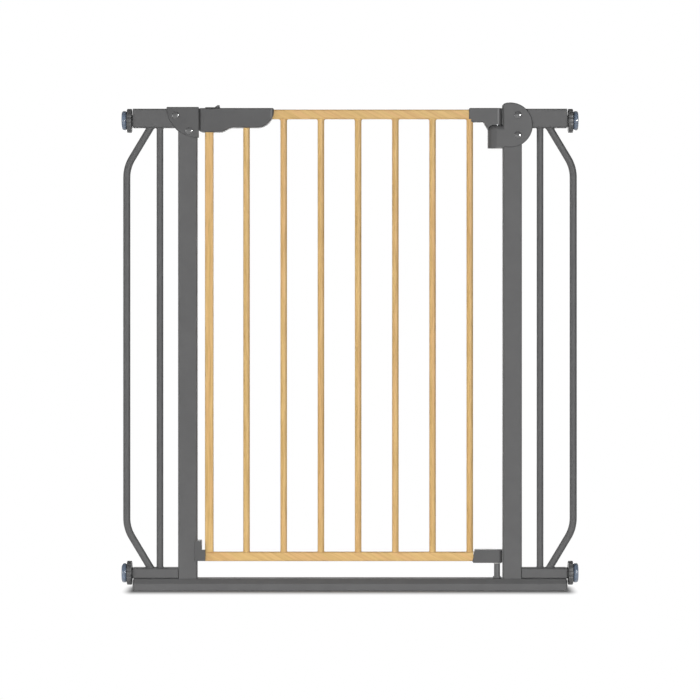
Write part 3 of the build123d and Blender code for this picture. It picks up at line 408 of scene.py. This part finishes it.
def wood_look(name, colours, turn, contrast):
    """Wood-grain coat over steel tube; turn lays its grain along the tube."""
    tree, shader, height = grouped_material(name, "Wood Grain", wood_grain_group, {
        "Light": (*colours.wood_light, 1), "Dark": (*colours.wood_dark, 1), "Rose": (*colours.wood_rose, 1),
        "Contrast": contrast}, turn)
    shader.inputs["Specular IOR Level"].default_value = 0.25
    add_bump(tree, shader, height, 0.02 * MM, 0.5)


def clear_rubber(name, colour):
    """Soft bluish see-through rubber."""
    tree, shader, height = textured_material(name, colour, bumps=120.0, roughness=0.25, mottle=0.06)
    for socket, value in (("Transmission Weight", 0.25), ("IOR", 1.46), ("Coat Weight", 1.0),
                          ("Coat Roughness", 0.08)):
        shader.inputs[socket].default_value = value
    add_bump(tree, shader, height, 0.05 * MM, 0.1)


def finish_for(node_name):
    """Name of the finish that a node gets: its slot's, with the wood laid along its tube."""
    return "leaf_woodgrain_rails" if node_name in ("top_rail", "bottom_rail") else SLOT_OF[node_name]


class GATE_OT_finishes(bpy.types.Operator):
    """Make every finish and lay it on the pieces of the frame"""

    bl_idname = "gate.finishes"
    bl_label = "Finishes"

    def execute(self, context):
        colours = context.scene.gate_colours
        for leftover in [old for old in bpy.data.materials if old.name in SLOT_OF.values()]:
            leftover.name = f"{leftover.name}_plain"
        # name, colour, bumps per metre, their depth, roughness, specular level
        textured_finish("frame_coat", colours.frame_coat, 800.0, 0.09 * MM, 0.58, 0.15)
        textured_finish("moulded_grey", colours.moulded, 1400.0, 0.06 * MM, 0.45, 0.20)
        textured_finish("coated_screws", colours.moulded, 500.0, 0.002 * MM, 0.13, 0.9)
        textured_finish("wheel_plastic", colours.wheel, 1400.0, 0.02 * MM, 0.42, 0.35)
        textured_finish("hinge_spindle_coat", colours.frame_coat, 1100.0, 0.03 * MM, 0.42, 0.4)
        textured_finish("zinc_steel", colours.zinc, 1200.0, 0.02 * MM, 0.30, 0.5, mottle=0.08, metallic=1.0)
        textured_finish("nylon", colours.nylon, 1300.0, 0.03 * MM, 0.45, 0.4)
        wood_look("leaf_woodgrain", colours, (0, 0, 0), 0.75)
        wood_look("leaf_woodgrain_rails", colours, (0, radians(62), 0), 0.5)
        clear_rubber("pad_rubber", colours.pad)
        for name, piece in NODES.items():
            finish = bpy.data.materials[finish_for(name)]
            for place in piece.material_slots:
                place.material = finish
        return {"FINISHED"}


# -------- mesh helpers
def made_mesh(name, mesh_data):
    """Mesh from a bmesh, which is let go."""
    mesh = bpy.data.meshes.new(name)
    mesh_data.to_mesh(mesh)
    mesh_data.free()
    return mesh


def finish_piece(name, mesh_data, nodes, smooth_angle=35):
    """Turn a bmesh into a piece that rides with the nodes it stands for and takes their finish."""
    bmesh.ops.recalc_face_normals(mesh_data, faces=mesh_data.faces)
    mesh = made_mesh(name, mesh_data)
    for face in mesh.polygons:
        face.use_smooth = True
    mesh.set_sharp_from_angle(angle=radians(smooth_angle))
    mesh.materials.append(bpy.data.materials[finish_for(nodes[0])])
    piece = bpy.data.objects.new(name, mesh)
    bpy.context.scene.collection.objects.link(piece)
    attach(piece, BODY_OF[nodes[0]])
    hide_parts(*nodes)
    return piece


def side_of(node_name):
    """1 for a node on the hinge side, -1 on the latch side."""
    return 1 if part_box(node_name)[0].x > 0 else -1


def near_and_far(node_name):
    """Distances of a node's two ends from the gate's middle."""
    low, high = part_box(node_name)
    return sorted((abs(low.x), abs(high.x)))


def cut_through(mesh_data, place, way, clear_outer=False):
    """Cut the whole mesh along a plane, and clear what lies beyond it if asked."""
    bmesh.ops.bisect_plane(mesh_data, geom=mesh_data.verts[:] + mesh_data.edges[:] + mesh_data.faces[:],
                           plane_co=place, plane_no=way, clear_outer=clear_outer)


def round_over(mesh_data, edges, radius, segments=3):
    """Round some edges over."""
    bmesh.ops.bevel(mesh_data, geom=edges, affect="EDGES", offset=radius, offset_type="OFFSET",
                    segments=segments, profile=0.5, material=-1, clamp_overlap=True)


def profile(points):
    """Open line of edges through (radius, height) points."""
    line = bmesh.new()
    corners = [line.verts.new((radius, 0, height)) for radius, height in points]
    for low, high in zip(corners, corners[1:]):
        line.edges.new((low, high))
    return line


def turn_profile(points, segments):
    """Solid of revolution about Z from (radius, height) points, with closed ends."""
    turned = profile(points)
    bmesh.ops.spin(turned, geom=turned.verts[:] + turned.edges[:], cent=(0, 0, 0), axis=(0, 0, 1),
                   angle=tau, steps=segments, use_merge=True)
    bmesh.ops.remove_doubles(turned, verts=turned.verts, dist=MERGE_SPUN)
    close_ends(turned)
    return turned


def close_ends(mesh_data):
    """Fill every open loop."""
    rim = [edge for edge in mesh_data.edges if edge.is_boundary]
    if rim:
        bmesh.ops.holes_fill(mesh_data, edges=rim, sides=0)


def weld_curve(radius, flare, steps):
    """(radius, rise) points of the hollow weld curve at a bar's end, widest first."""
    turns = [step / steps * pi / 2 for step in range(steps + 1)]
    return [(radius + flare * (1 - sin(turn)), flare * (1 - cos(turn))) for turn in turns]


def rim_at(mesh_data, height):
    """Edges that lie level at a height."""
    return [edge for edge in mesh_data.edges if all(abs(corner.co.z - height) < LEVEL for corner in edge.verts)]


def end_faces(mesh_data):
    """The many-sided end faces of a round solid, lowest first."""
    ends = [face for face in mesh_data.faces if len(face.verts) > 4]
    return sorted(ends, key=lambda face: face.verts[0].co.z)


def merged_copy(node_name):
    """Editable copy of a node's mesh with its triangles joined."""
    copy = bmesh.new()
    copy.from_mesh(NODES[node_name].data)
    bmesh.ops.remove_doubles(copy, verts=copy.verts, dist=MERGE_CAD)
    return copy


def soften(copy, node_name, edge_radius):
    """Round over the sharp edges of a node's copy, keep its flats flat and make it the node's piece."""
    bmesh.ops.dissolve_limit(copy, angle_limit=JOINED, verts=copy.verts, edges=copy.edges)
    sharp = [edge for edge in copy.edges if len(edge.link_faces) == 2 and edge.calc_face_angle(0) > SHARP]
    round_over(copy, sharp, edge_radius)
    piece = finish_piece(f"{node_name}_shell", copy, [node_name])
    piece.modifiers.new("Weighted Normals", "WEIGHTED_NORMAL").keep_sharp = True


# -------- bars
def upright_bar(node_name, diameter, low_weld, high_weld, sizes):
    """Round bar between two rails, its welds drawn out along the rails and no wider than them."""
    low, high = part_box(node_name)
    radius = diameter / 2
    foot = weld_curve(radius, low_weld, sizes.weld_steps)
    head = weld_curve(radius, high_weld, sizes.weld_steps)
    outline = [(foot[0][0], low.z - sizes.weld_sink)]
    outline += [(reach, low.z + rise) for reach, rise in foot]
    outline += [(reach, high.z - rise) for reach, rise in reversed(head)]
    outline.append((head[0][0], high.z + sizes.weld_sink))
    bar = turn_profile(outline, sizes.round_segments)
    narrow_welds(bar, radius)
    bmesh.ops.translate(bar, verts=bar.verts, vec=((low.x + high.x) / 2, 0, 0))
    finish_piece(f"{node_name}_welded", bar, [node_name])


def narrow_welds(bar, radius):
    """Draw the welds of an upright bar in, front and back, to the bar's own thickness."""
    for corner in bar.verts:
        reach = hypot(corner.co.x, corner.co.y)
        if reach > radius:
            corner.co.y *= radius / reach


def run_on(mesh_data, ring, way):
    """Extrude an open ring of edges by a vector and give back the new ring."""
    made = bmesh.ops.extrude_edge_only(mesh_data, edges=ring)["geom"]
    corners = [item for item in made if isinstance(item, bmesh.types.BMVert)]
    bmesh.ops.translate(mesh_data, verts=corners, vec=way)
    return [item for item in made if isinstance(item, bmesh.types.BMEdge)
            and item.verts[0] in corners and item.verts[1] in corners]


def bend_on(mesh_data, ring, centre, angle, steps):
    """Spin an open ring of edges round a centre in the gate's plane and give back the new ring."""
    corners = {corner for edge in ring for corner in edge.verts}
    made = bmesh.ops.spin(mesh_data, geom=list(corners) + ring, cent=centre, axis=(0, 1, 0),
                          angle=angle, steps=steps)["geom_last"]
    return [item for item in made if isinstance(item, bmesh.types.BMEdge)]


def middle_of(ring):
    """Centre of a ring of edges."""
    corners = {corner for edge in ring for corner in edge.verts}
    return sum((corner.co for corner in corners), Vector()) / len(corners)


def flare_end(mesh_data, height, way, sizes):
    """Cut a slanted run level at a height and spread it into its weld; way is its unit run to the arm."""
    radius = sizes.bent_bar / 2
    upward = 1 if way.z > 0 else -1
    cut = height - upward * sizes.weld
    cut_through(mesh_data, (0, 0, cut), (0, 0, upward), clear_outer=True)
    ring = [edge for edge in rim_at(mesh_data, cut) if edge.is_boundary]
    curve = list(reversed(weld_curve(radius, sizes.weld, sizes.weld_steps)))
    curve.append((curve[-1][0], -sizes.weld_sink))
    for (reach, rise), (next_reach, next_rise) in zip(curve, curve[1:]):
        ring = run_on(mesh_data, ring, way * (rise - next_rise) / abs(way.z))
        middle = middle_of(ring)
        growth = next_reach / reach
        corners = list({corner for edge in ring for corner in edge.verts})
        bmesh.ops.scale(mesh_data, verts=corners, vec=(growth, 1, 1), space=Matrix.Translation(-middle))
    bmesh.ops.holes_fill(mesh_data, edges=ring, sides=0)


def bent_bar(node_name, sizes):
    """Bar that slants out from its lower arm, bends upright and slants back in under the upper one."""
    low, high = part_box(node_name)
    radius = sizes.bent_bar / 2
    upright_x = near_and_far(node_name)[1] - radius
    slant = atan2(sizes.bend_reach, sizes.bend_drop)
    outward = Vector((sin(slant), 0, cos(slant)))
    inward = Vector((-sin(slant), 0, cos(slant)))
    setback = sizes.bend_radius * tan(slant / 2)
    spare = 2 * sizes.bent_bar
    run = hypot(sizes.bend_reach, sizes.bend_drop) - setback
    upright = high.z - low.z - 2 * sizes.bend_drop - 2 * setback
    foot = Vector((upright_x - sizes.bend_reach, 0, low.z))
    bar = bmesh.new()
    bmesh.ops.create_circle(bar, cap_ends=False, segments=sizes.round_segments, radius=radius,
                            matrix=Matrix.Translation(foot - outward * spare) @ Matrix.Rotation(slant, 4, "Y"))
    ring = run_on(bar, bar.edges[:], outward * (run + spare))
    centre = middle_of(ring) + Vector((-cos(slant), 0, sin(slant))) * sizes.bend_radius
    ring = bend_on(bar, ring, centre, -slant, sizes.bend_steps)
    ring = run_on(bar, ring, Vector((0, 0, upright)))
    centre = middle_of(ring) - Vector((sizes.bend_radius, 0, 0))
    ring = bend_on(bar, ring, centre, -slant, sizes.bend_steps)
    run_on(bar, ring, inward * (run + spare))
    bmesh.ops.remove_doubles(bar, verts=bar.verts, dist=MERGE_SPUN)
    flare_end(bar, low.z, -outward, sizes)
    flare_end(bar, high.z, inward, sizes)
    bmesh.ops.scale(bar, verts=bar.verts, vec=(side_of(node_name), 1, 1))
    finish_piece(f"{node_name}_welded", bar, [node_name])


class GATE_OT_bars(bpy.types.Operator):
    """Round bars of the leaf and the frame, flared into their welds"""

    bl_idname = "gate.bars"
    bl_label = "Bars"

    def execute(self, context):
        sizes = context.scene.gate_sizes
        for name in sorted(NODES):
            if name.startswith("leaf_bar_") or name == "hinge_stile":
                upright_bar(name, sizes.leaf_bar, sizes.bottom_weld, sizes.top_weld, sizes)
            elif name.endswith("_straight_bar"):
                upright_bar(name, sizes.straight_bar, sizes.weld, sizes.weld, sizes)
            elif name.endswith("_bent_bar"):
                bent_bar(name, sizes)
        return {"FINISHED"}


# -------- wall spindles
def lay_outward(mesh_data, node_name, start):
    """Turn a piece made along +Z to point out to its wall, from a distance off the middle."""
    low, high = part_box(node_name)
    side = side_of(node_name)
    place = Matrix.Translation((side * start, (low.y + high.y) / 2, (low.z + high.z) / 2))
    bmesh.ops.transform(mesh_data, matrix=place @ Matrix.Rotation(side * pi / 2, 4, "Y"), verts=mesh_data.verts)


def step_face(mesh_data, face, radius, depth):
    """Inset an end face to a circle, then push it out or in, and give back the new end face."""
    bmesh.ops.inset_region(mesh_data, faces=[face], thickness=LOOP_INSET, use_even_offset=True)
    for corner in face.verts:
        corner.co.xy = corner.co.xy.normalized() * radius
    if depth:
        pushed = bmesh.ops.extrude_discrete_faces(mesh_data, faces=[face])["faces"][0]
        bmesh.ops.translate(mesh_data, verts=pushed.verts, vec=(0, 0, depth))
        return pushed
    return face


def hand_wheel(node_name, sizes):
    """Moulded wheel with finger grips, a dished face and a hub with the rod's bore through it."""
    near, far = near_and_far(node_name)
    low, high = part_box(node_name)
    radius = (high.z - low.z) / 2
    wheel = bmesh.new()
    bmesh.ops.create_circle(wheel, cap_ends=True, segments=12 * sizes.wheel_lobes, radius=radius)
    for corner in wheel.verts:
        turn = atan2(corner.co.y, corner.co.x) * sizes.wheel_lobes
        corner.co *= 1 - sizes.wheel_lobe_depth / radius * (0.5 - 0.5 * cos(turn)) ** 4
    bmesh.ops.translate(wheel, verts=wheel.verts, vec=(0, 0, sizes.wheel_hub_lift))
    far_face = bmesh.ops.extrude_face_region(wheel, geom=wheel.faces[:], use_keep_orig=True)["geom"]
    raised = [item for item in far_face if isinstance(item, bmesh.types.BMVert)]
    bmesh.ops.translate(wheel, verts=raised, vec=(0, 0, far - near - sizes.wheel_hub_lift))
    round_over(wheel, rim_at(wheel, sizes.wheel_hub_lift) + rim_at(wheel, far - near), sizes.moulded_edge)
    low_end, high_end = end_faces(wheel)
    hub = sizes.wheel_hub / 2
    dish = step_face(wheel, high_end, radius - sizes.wheel_rim, 0)
    dish = step_face(wheel, dish, radius - sizes.wheel_rim - sizes.moulded_edge, -sizes.wheel_dish)
    boss = step_face(wheel, dish, hub, 0)
    boss = step_face(wheel, boss, hub - sizes.moulded_edge, sizes.wheel_dish)
    stub = step_face(wheel, low_end, hub, -sizes.wheel_hub_lift)
    bores = [step_face(wheel, end, sizes.rod_bore / 2, 0) for end in (boss, stub)]
    rims = [edge for face in bores for edge in face.edges]
    bmesh.ops.delete(wheel, geom=bores, context="FACES_ONLY")
    bmesh.ops.bridge_loops(wheel, edges=rims)
    lay_outward(wheel, node_name, near)
    finish_piece(f"{node_name}_grips", wheel, [node_name], smooth_angle=40)


def wall_pad(node_name, sizes):
    """Clear rubber pad: a round plate with soft edges and a shallow ring in its face."""
    near, far = near_and_far(node_name)
    low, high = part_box(node_name)
    radius = (high.z - low.z) / 2
    pad = bmesh.new()
    bmesh.ops.create_cone(pad, cap_ends=True, segments=2 * sizes.round_segments, radius1=radius, radius2=radius,
                          depth=far - near)
    bmesh.ops.translate(pad, verts=pad.verts, vec=(0, 0, (far - near) / 2))
    round_over(pad, rim_at(pad, far - near) + rim_at(pad, 0), sizes.pad_edge, segments=8)
    low_end, high_end = end_faces(pad)
    ring = step_face(pad, high_end, radius - sizes.pad_ring, -sizes.small_edge)
    step_face(pad, ring, radius - sizes.pad_ring - 2 * sizes.moulded_edge, sizes.small_edge)
    collar = step_face(pad, low_end, sizes.rod_bore, 0)
    step_face(pad, collar, sizes.rod_bore * 0.8, sizes.moulded_edge)
    lay_outward(pad, node_name, near)
    finish_piece(f"{node_name}_moulded", pad, [node_name])


def threaded_rod(node_name, sizes):
    """Rod with a screw thread and two flats."""
    near, far = near_and_far(node_name)
    low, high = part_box(node_name)
    crest = (high.y - low.y) / 2
    flats = high.z - low.z
    root = crest - sizes.thread_depth
    pitch = sizes.thread_pitch
    turns = int((far - near) / pitch) + 3
    thread = ((root, 0), (root, 0.25), (crest, 0.5), (crest, 0.75), (root, 1))
    rod = profile([(radius, pitch * rise - pitch) for radius, rise in thread])
    steps = sizes.round_segments // 2
    bmesh.ops.spin(rod, geom=rod.verts[:] + rod.edges[:], cent=(0, 0, 0), axis=(0, 0, 1),
                   dvec=(0, 0, pitch / steps), angle=tau * turns, steps=steps * turns)
    bmesh.ops.remove_doubles(rod, verts=rod.verts, dist=LEVEL)
    for place, way in (((0, 0, 0), (0, 0, -1)), ((0, 0, far - near), (0, 0, 1)),
                       ((flats / 2, 0, 0), (1, 0, 0)), ((-flats / 2, 0, 0), (-1, 0, 0))):
        cut_through(rod, place, way, clear_outer=True)
        close_ends(rod)
    lay_outward(rod, node_name, near)
    finish_piece(f"{node_name}_threaded", rod, [node_name])


class GATE_OT_wall_spindles(bpy.types.Operator):
    """Hand wheels, threaded rods and rubber pads that wedge the gate between two walls"""

    bl_idname = "gate.wall_spindles"
    bl_label = "Wall Spindles"

    def execute(self, context):
        sizes = context.scene.gate_sizes
        for name in sorted(NODES):
            if name.endswith("_wheel"):
                hand_wheel(name, sizes)
            elif name.endswith("_pad"):
                wall_pad(name, sizes)
            elif name.endswith("_rod"):
                threaded_rod(name, sizes)
        return {"FINISHED"}


# -------- screws
def loose_boxes(node_name):
    """Lowest and highest corners of each separate solid of a node."""
    copy = merged_copy(node_name)
    left = set(copy.verts)
    boxes = []
    while left:
        reached = [left.pop()]
        for corner in reached:
            for edge in corner.link_edges:
                other = edge.other_vert(corner)
                if other in left:
                    left.remove(other)
                    reached.append(other)
        low = Vector(min(corner.co[axis] for corner in reached) for axis in range(3))
        high = Vector(max(corner.co[axis] for corner in reached) for axis in range(3))
        boxes.append((low, high))
    copy.free()
    return sorted(boxes, key=lambda box: tuple(box[0]))


def domed_outline(radius, head, shank, length):
    """(radius, height) outline of a screw with a low dome, its tip at zero."""
    rim = head * 0.25
    arc = [step / 10 * pi / 2 for step in range(10)]
    dome = [(radius * cos(turn), length - head + rim + (head - rim) * sin(turn)) for turn in arc]
    return [(0, 0), (shank * 0.8, 0), (shank, shank * 0.4), (shank, length - head),
            (radius * 0.97, length - head)] + dome + [(0, length)]


def pan_outline(radius, head, shank, length):
    """(radius, height) outline of a small pan-head screw, its tip at zero."""
    return [(0, 0), (shank * 0.7, 0), (shank, shank * 0.5), (shank, length - head), (radius, length - head),
            (radius, length - head * 0.5), (radius * 0.9, length - head * 0.15), (radius * 0.7, length)]


def cross_recess(screw, radius, head, rim=0.08, core=0.35, reach=0.9, taper=0.7, depth=0.6):
    """Cut a cross for a driver into the flat end of a screw, by shares of its radius and its head."""
    end = max(screw.faces, key=lambda face: face.calc_center_median().z)
    bmesh.ops.inset_region(screw, faces=[end], thickness=radius * rim, use_even_offset=True)
    count = len(end.verts)
    for index, corner in enumerate(end.verts):
        arm = abs((index / count * 4) % 1 - 0.5) * 2
        corner.co.xy *= core + (reach - core) * max(0, arm * 3 - 2)
    pushed = bmesh.ops.extrude_discrete_faces(screw, faces=[end])["faces"][0]
    middle = pushed.calc_center_median()
    for corner in pushed.verts:
        corner.co = middle.lerp(corner.co, taper) - Vector((0, 0, head * depth))


def screws(node_name, outline, head, shank, faces_way, recess, sizes):
    """Screws of one node as a single piece; faces_way points out of their heads."""
    axis = max(range(3), key=lambda index: abs(faces_way[index]))
    across = (axis + 1) % 3
    together = bmesh.new()
    for low, high in loose_boxes(node_name):
        length = high[axis] - low[axis]
        radius = (high[across] - low[across]) / 2
        one = turn_profile(outline(radius, head, shank, length), sizes.round_segments)
        if recess:
            cross_recess(one, radius, head)
        tip = (low + high) / 2 - faces_way * length / 2
        turned = faces_way.to_track_quat("Z", "Y").to_matrix().to_4x4()
        bmesh.ops.transform(one, matrix=Matrix.Translation(tip) @ turned, verts=one.verts)
        mesh = made_mesh("screw", one)
        together.from_mesh(mesh)
        bpy.data.meshes.remove(mesh)
    finish_piece(f"{node_name}_turned", together, [node_name])


class GATE_OT_screws(bpy.types.Operator):
    """Domed cover screws and small cross-recess screws"""

    bl_idname = "gate.screws"
    bl_label = "Screws"

    def execute(self, context):
        sizes = context.scene.gate_sizes
        front, back, inward = Vector((0, -1, 0)), Vector((0, 1, 0)), Vector((1, 0, 0))
        screws("cover_screws", domed_outline, sizes.dome_height, sizes.dome_shank / 2, front, False, sizes)
        small = (pan_outline, sizes.pan_height, sizes.pan_shank / 2)
        screws("handle_screws", *small, back, True, sizes)
        screws("hinge_arm_screws", *small, back, True, sizes)
        screws("lower_catch_screws", *small, inward, True, sizes)
        return {"FINISHED"}


# -------- moulded pieces
def housing_shell(sizes):
    """Front half of the hinge housing, its barrel run flush into the round plate."""
    name = "hinge_housing_front"
    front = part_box(name)[0].y
    copy = merged_copy(name)
    flat_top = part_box("hinge_bush")[1].z - sizes.barrel_shoulder
    cut_through(copy, (0, 0, flat_top), (0, 0, 1))
    face_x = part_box("right_post")[0].x + sizes.plate_face
    spare = 0.02 * MM
    for corner in copy.verts:
        on_bevel = (face_x - spare < corner.co.x < face_x + sizes.plate_bevel + spare
                    and corner.co.y < front + sizes.plate_bevel + spare)
        if on_bevel and corner.co.z < flat_top + spare:
            corner.co.y = front
    bmesh.ops.remove_doubles(copy, verts=copy.verts, dist=MERGE_CAD)
    bmesh.ops.dissolve_degenerate(copy, dist=MERGE_CAD, edges=copy.edges)
    soften(copy, name, sizes.moulded_edge)


def hinge_arm_shell(sizes):
    """Upper hinge arm with a lip along its back that closes the slit over the barrel's shoulder."""
    name = "upper_hinge_arm"
    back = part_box(name)[1].y
    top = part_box("hinge_bush")[1].z
    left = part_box("hinge_housing_front")[0].x
    middle = Vector((left + sizes.barrel_shoulder, 0, top - sizes.barrel_shoulder))
    copy = merged_copy(name)
    cut_through(copy, (0, back - sizes.arm_lip_depth, 0), (0, 1, 0))
    back_spare, shoulder_spare = 0.01 * MM, 0.5 * MM
    for corner in [corner for corner in copy.verts if corner.co.y > back - back_spare]:
        inward = Vector((max(middle.x - corner.co.x, 0), 0, min(middle.z - corner.co.z, 0)))
        reach = inward.length
        if abs(reach - sizes.barrel_shoulder) < shoulder_spare:
            corner.co += inward * (sizes.arm_lip / reach)
        corner.co.y -= sizes.stop_gap
    soften(copy, name, sizes.small_edge)


class GATE_OT_mouldings(bpy.types.Operator):
    """Handle, covers, hinge housing, arms, catch and plugs with their edges rounded over"""

    bl_idname = "gate.mouldings"
    bl_label = "Mouldings"

    def execute(self, context):
        sizes = context.scene.gate_sizes
        housing_shell(sizes)
        hinge_arm_shell(sizes)
        for name in ("handle_front", "handle_back", "strike_cover_front", "strike_cover_back",
                     "hinge_housing_back", "lower_hinge_arm", "lower_catch", "rail_end_caps"):
            soften(merged_copy(name), name, sizes.moulded_edge)
        for name in ("spindle_plugs", "strike_keeper", "latch_button", "latch_tongue", "latch_bolt",
                     "hinge_washer", "post_base_screws"):
            soften(merged_copy(name), name, sizes.small_edge)
        return {"FINISHED"}


# -------- stage
# Name, which is also its power's setting, place, (width, height), and the kind of ray that it is hidden from.
LAMPS = (
    ("front_light", (0, -3.0, 0.42), (2.6, 0.8), "visible_glossy"),
    ("left_light", (-2.6, -1.9, 0.5), (0.35, 1.6), None),
    ("right_light", (1.5, -2.4, 0.95), (0.7, 0.7), "visible_diffuse"),
    ("back_light", (-0.6, 3.0, 0.42), (2.6, 0.8), None),
)
FLOOR_REACH = 6              # half the floor's width, in metres
CEILING_RISE = 0.4           # upward share of a direction from which on it counts as the ceiling


def seen_rays(tree):
    """1 for rays that show a backdrop: the camera's, reflected and see-through ones."""
    path = node(tree, "ShaderNodeLightPath").outputs
    reflected = maths(tree, "MAXIMUM", path["Is Glossy Ray"], path["Is Transmission Ray"])
    return maths(tree, "MAXIMUM", path["Is Camera Ray"], reflected)


def plain_world(stage):
    """White behind everything, and a soft light from all around that falls off towards the ceiling."""
    world = bpy.data.worlds.new("studio")
    world.use_nodes = True
    tree = world.node_tree
    sky = tree.nodes["Background"]
    sky.inputs["Color"].default_value = (1, 1, 1, 1)
    way = node(tree, "ShaderNodeTexCoord").outputs["Generated"]
    rise = node(tree, "ShaderNodeSeparateXYZ", {0: way}).outputs["Z"]
    height = ranged(tree, rise, (0.0, CEILING_RISE), (1.0, stage.ceiling))
    level = ranged(tree, seen_rays(tree), wanted=(stage.ambient, 1.0))
    around = maths(tree, "MULTIPLY", level, height)
    seen = node(tree, "ShaderNodeLightPath").outputs["Is Camera Ray"]
    strength = node(tree, "ShaderNodeMix", {0: seen, 2: around, 3: 1.0})
    tree.links.new(strength.outputs[0], sky.inputs["Strength"])
    bpy.context.scene.world = world


def floor_finish(stage):
    """Grey floor under the gate with a painted soft shadow: grey near the rail, lit so that the gate's real
    shadow shows on it too, and running out to white emission all round.
    """
    material, tree, shader, place = new_material("pale_floor")
    tree.nodes.remove(shader)
    rail_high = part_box("floor_rail")[1]
    away = vector_maths(tree, "ABSOLUTE", place)
    outside = vector_maths(tree, "MAXIMUM", vector_maths(tree, "SUBTRACT", away, rail_high), (0, 0, 0))
    distance = vector_maths(tree, "LENGTH", outside, output="Value")
    # Glow for rays other than the camera's: white emission near the rail that stands in for light bounced back
    # from the floor.
    bounce = ranged(tree, distance, (0.0, stage.bounce_reach), (stage.floor_bounce, 0.0))
    # Painted shadow: by distance from the rail's footprint, over shade_side past its ends and shade_depth in
    # front and behind, the lit grey floor fades to white emission.
    reach = vector_maths(tree, "DIVIDE", outside, (stage.shade_side, stage.shade_depth, 1))
    share = vector_maths(tree, "LENGTH", reach, output="Value")
    painted_shadow_fade = ranged(tree, share, interpolation_type="SMOOTHSTEP")
    glow = node(tree, "ShaderNodeMix", {0: seen_rays(tree), 2: bounce, 3: painted_shadow_fade}).outputs[0]
    grey = (stage.painted_shadow_grey, stage.painted_shadow_grey, stage.painted_shadow_grey, 1)
    matt = node(tree, "ShaderNodeBsdfDiffuse", {"Color": grey})
    white = node(tree, "ShaderNodeEmission", {"Color": (1, 1, 1, 1), "Strength": 1.0})
    both = node(tree, "ShaderNodeMixShader", {0: glow, 1: matt.outputs[0], 2: white.outputs[0]})
    tree.links.new(both.outputs[0], tree.nodes["Material Output"].inputs["Surface"])
    return material


def soft_light(name, place, aim, size, power):
    """Soft light of a (width, height) size that points at a place."""
    lamp = bpy.data.lights.new(name, "AREA")
    lamp.shape = "RECTANGLE"
    lamp.size, lamp.size_y = size
    lamp.energy = power
    light = bpy.data.objects.new(name, lamp)
    light.location = place
    light.rotation_euler = (Vector(aim) - Vector(place)).to_track_quat("-Z", "Y").to_euler()
    bpy.context.scene.collection.objects.link(light)
    return light


class GATE_OT_stage(bpy.types.Operator):
    """Pale floor, soft studio light and the camera"""

    bl_idname = "gate.stage"
    bl_label = "Stage"

    def execute(self, context):
        scene = context.scene
        stage = scene.gate_stage
        scene.view_settings.view_transform = "Standard"
        plain_world(stage)
        ground = bmesh.new()
        bmesh.ops.create_grid(ground, x_segments=1, y_segments=1, size=FLOOR_REACH)
        mesh = made_mesh("floor", ground)
        mesh.materials.append(floor_finish(stage))
        floor = bpy.data.objects.new("floor", mesh)
        scene.collection.objects.link(floor)
        middle = (0, 0, stage.view_height)
        for name, place, size, hidden_from in LAMPS:
            light = soft_light(name, place, middle, size, getattr(stage, name))
            if hidden_from:
                setattr(light, hidden_from, False)
        view = bpy.data.cameras.new("camera")
        view.lens = view.sensor_width * stage.camera_distance / stage.view_width
        view.shift_y = (stage.view_height - stage.camera_height) / stage.view_width
        camera = bpy.data.objects.new("camera", view)
        camera.location = (0, -stage.camera_distance, stage.camera_height)
        camera.rotation_euler = (pi / 2, 0, 0)
        scene.collection.objects.link(camera)
        scene.camera = camera
        return {"FINISHED"}


# -------- panel and registration
PIECE_OPERATORS = (GATE_OT_finishes, GATE_OT_bars, GATE_OT_wall_spindles, GATE_OT_screws, GATE_OT_mouldings,
                   GATE_OT_stage)


class GATE_PT_panel(bpy.types.Panel):
    """Steps and sizes of the gate"""

    bl_idname = "GATE_PT_panel"
    bl_label = "Safety Gate"
    bl_space_type = "VIEW_3D"
    bl_region_type = "UI"
    bl_category = "Safety Gate"

    def draw(self, context):
        layout = self.layout
        for entry in PIECE_OPERATORS:
            layout.operator(entry.bl_idname)
        for settings in (context.scene.gate_sizes, context.scene.gate_colours, context.scene.gate_stage):
            box = layout.box()
            for name in settings.__annotations__:
                box.prop(settings, name)


CLASSES = (GateSizes, GateColours, StageSettings, *PIECE_OPERATORS, GATE_PT_panel)


def register():
    for entry in CLASSES:
        bpy.utils.register_class(entry)
    bpy.types.Scene.gate_sizes = PointerProperty(type=GateSizes)
    bpy.types.Scene.gate_colours = PointerProperty(type=GateColours)
    bpy.types.Scene.gate_stage = PointerProperty(type=StageSettings)


def unregister():
    del bpy.types.Scene.gate_stage
    del bpy.types.Scene.gate_colours
    del bpy.types.Scene.gate_sizes
    for entry in reversed(CLASSES):
        bpy.utils.unregister_class(entry)


def main():
    register()
    bpy.ops.gate.finishes()
    bpy.ops.gate.bars()
    bpy.ops.gate.wall_spindles()
    bpy.ops.gate.screws()
    bpy.ops.gate.mouldings()
    bpy.ops.gate.stage()


if __name__ == "__main__":
    main()
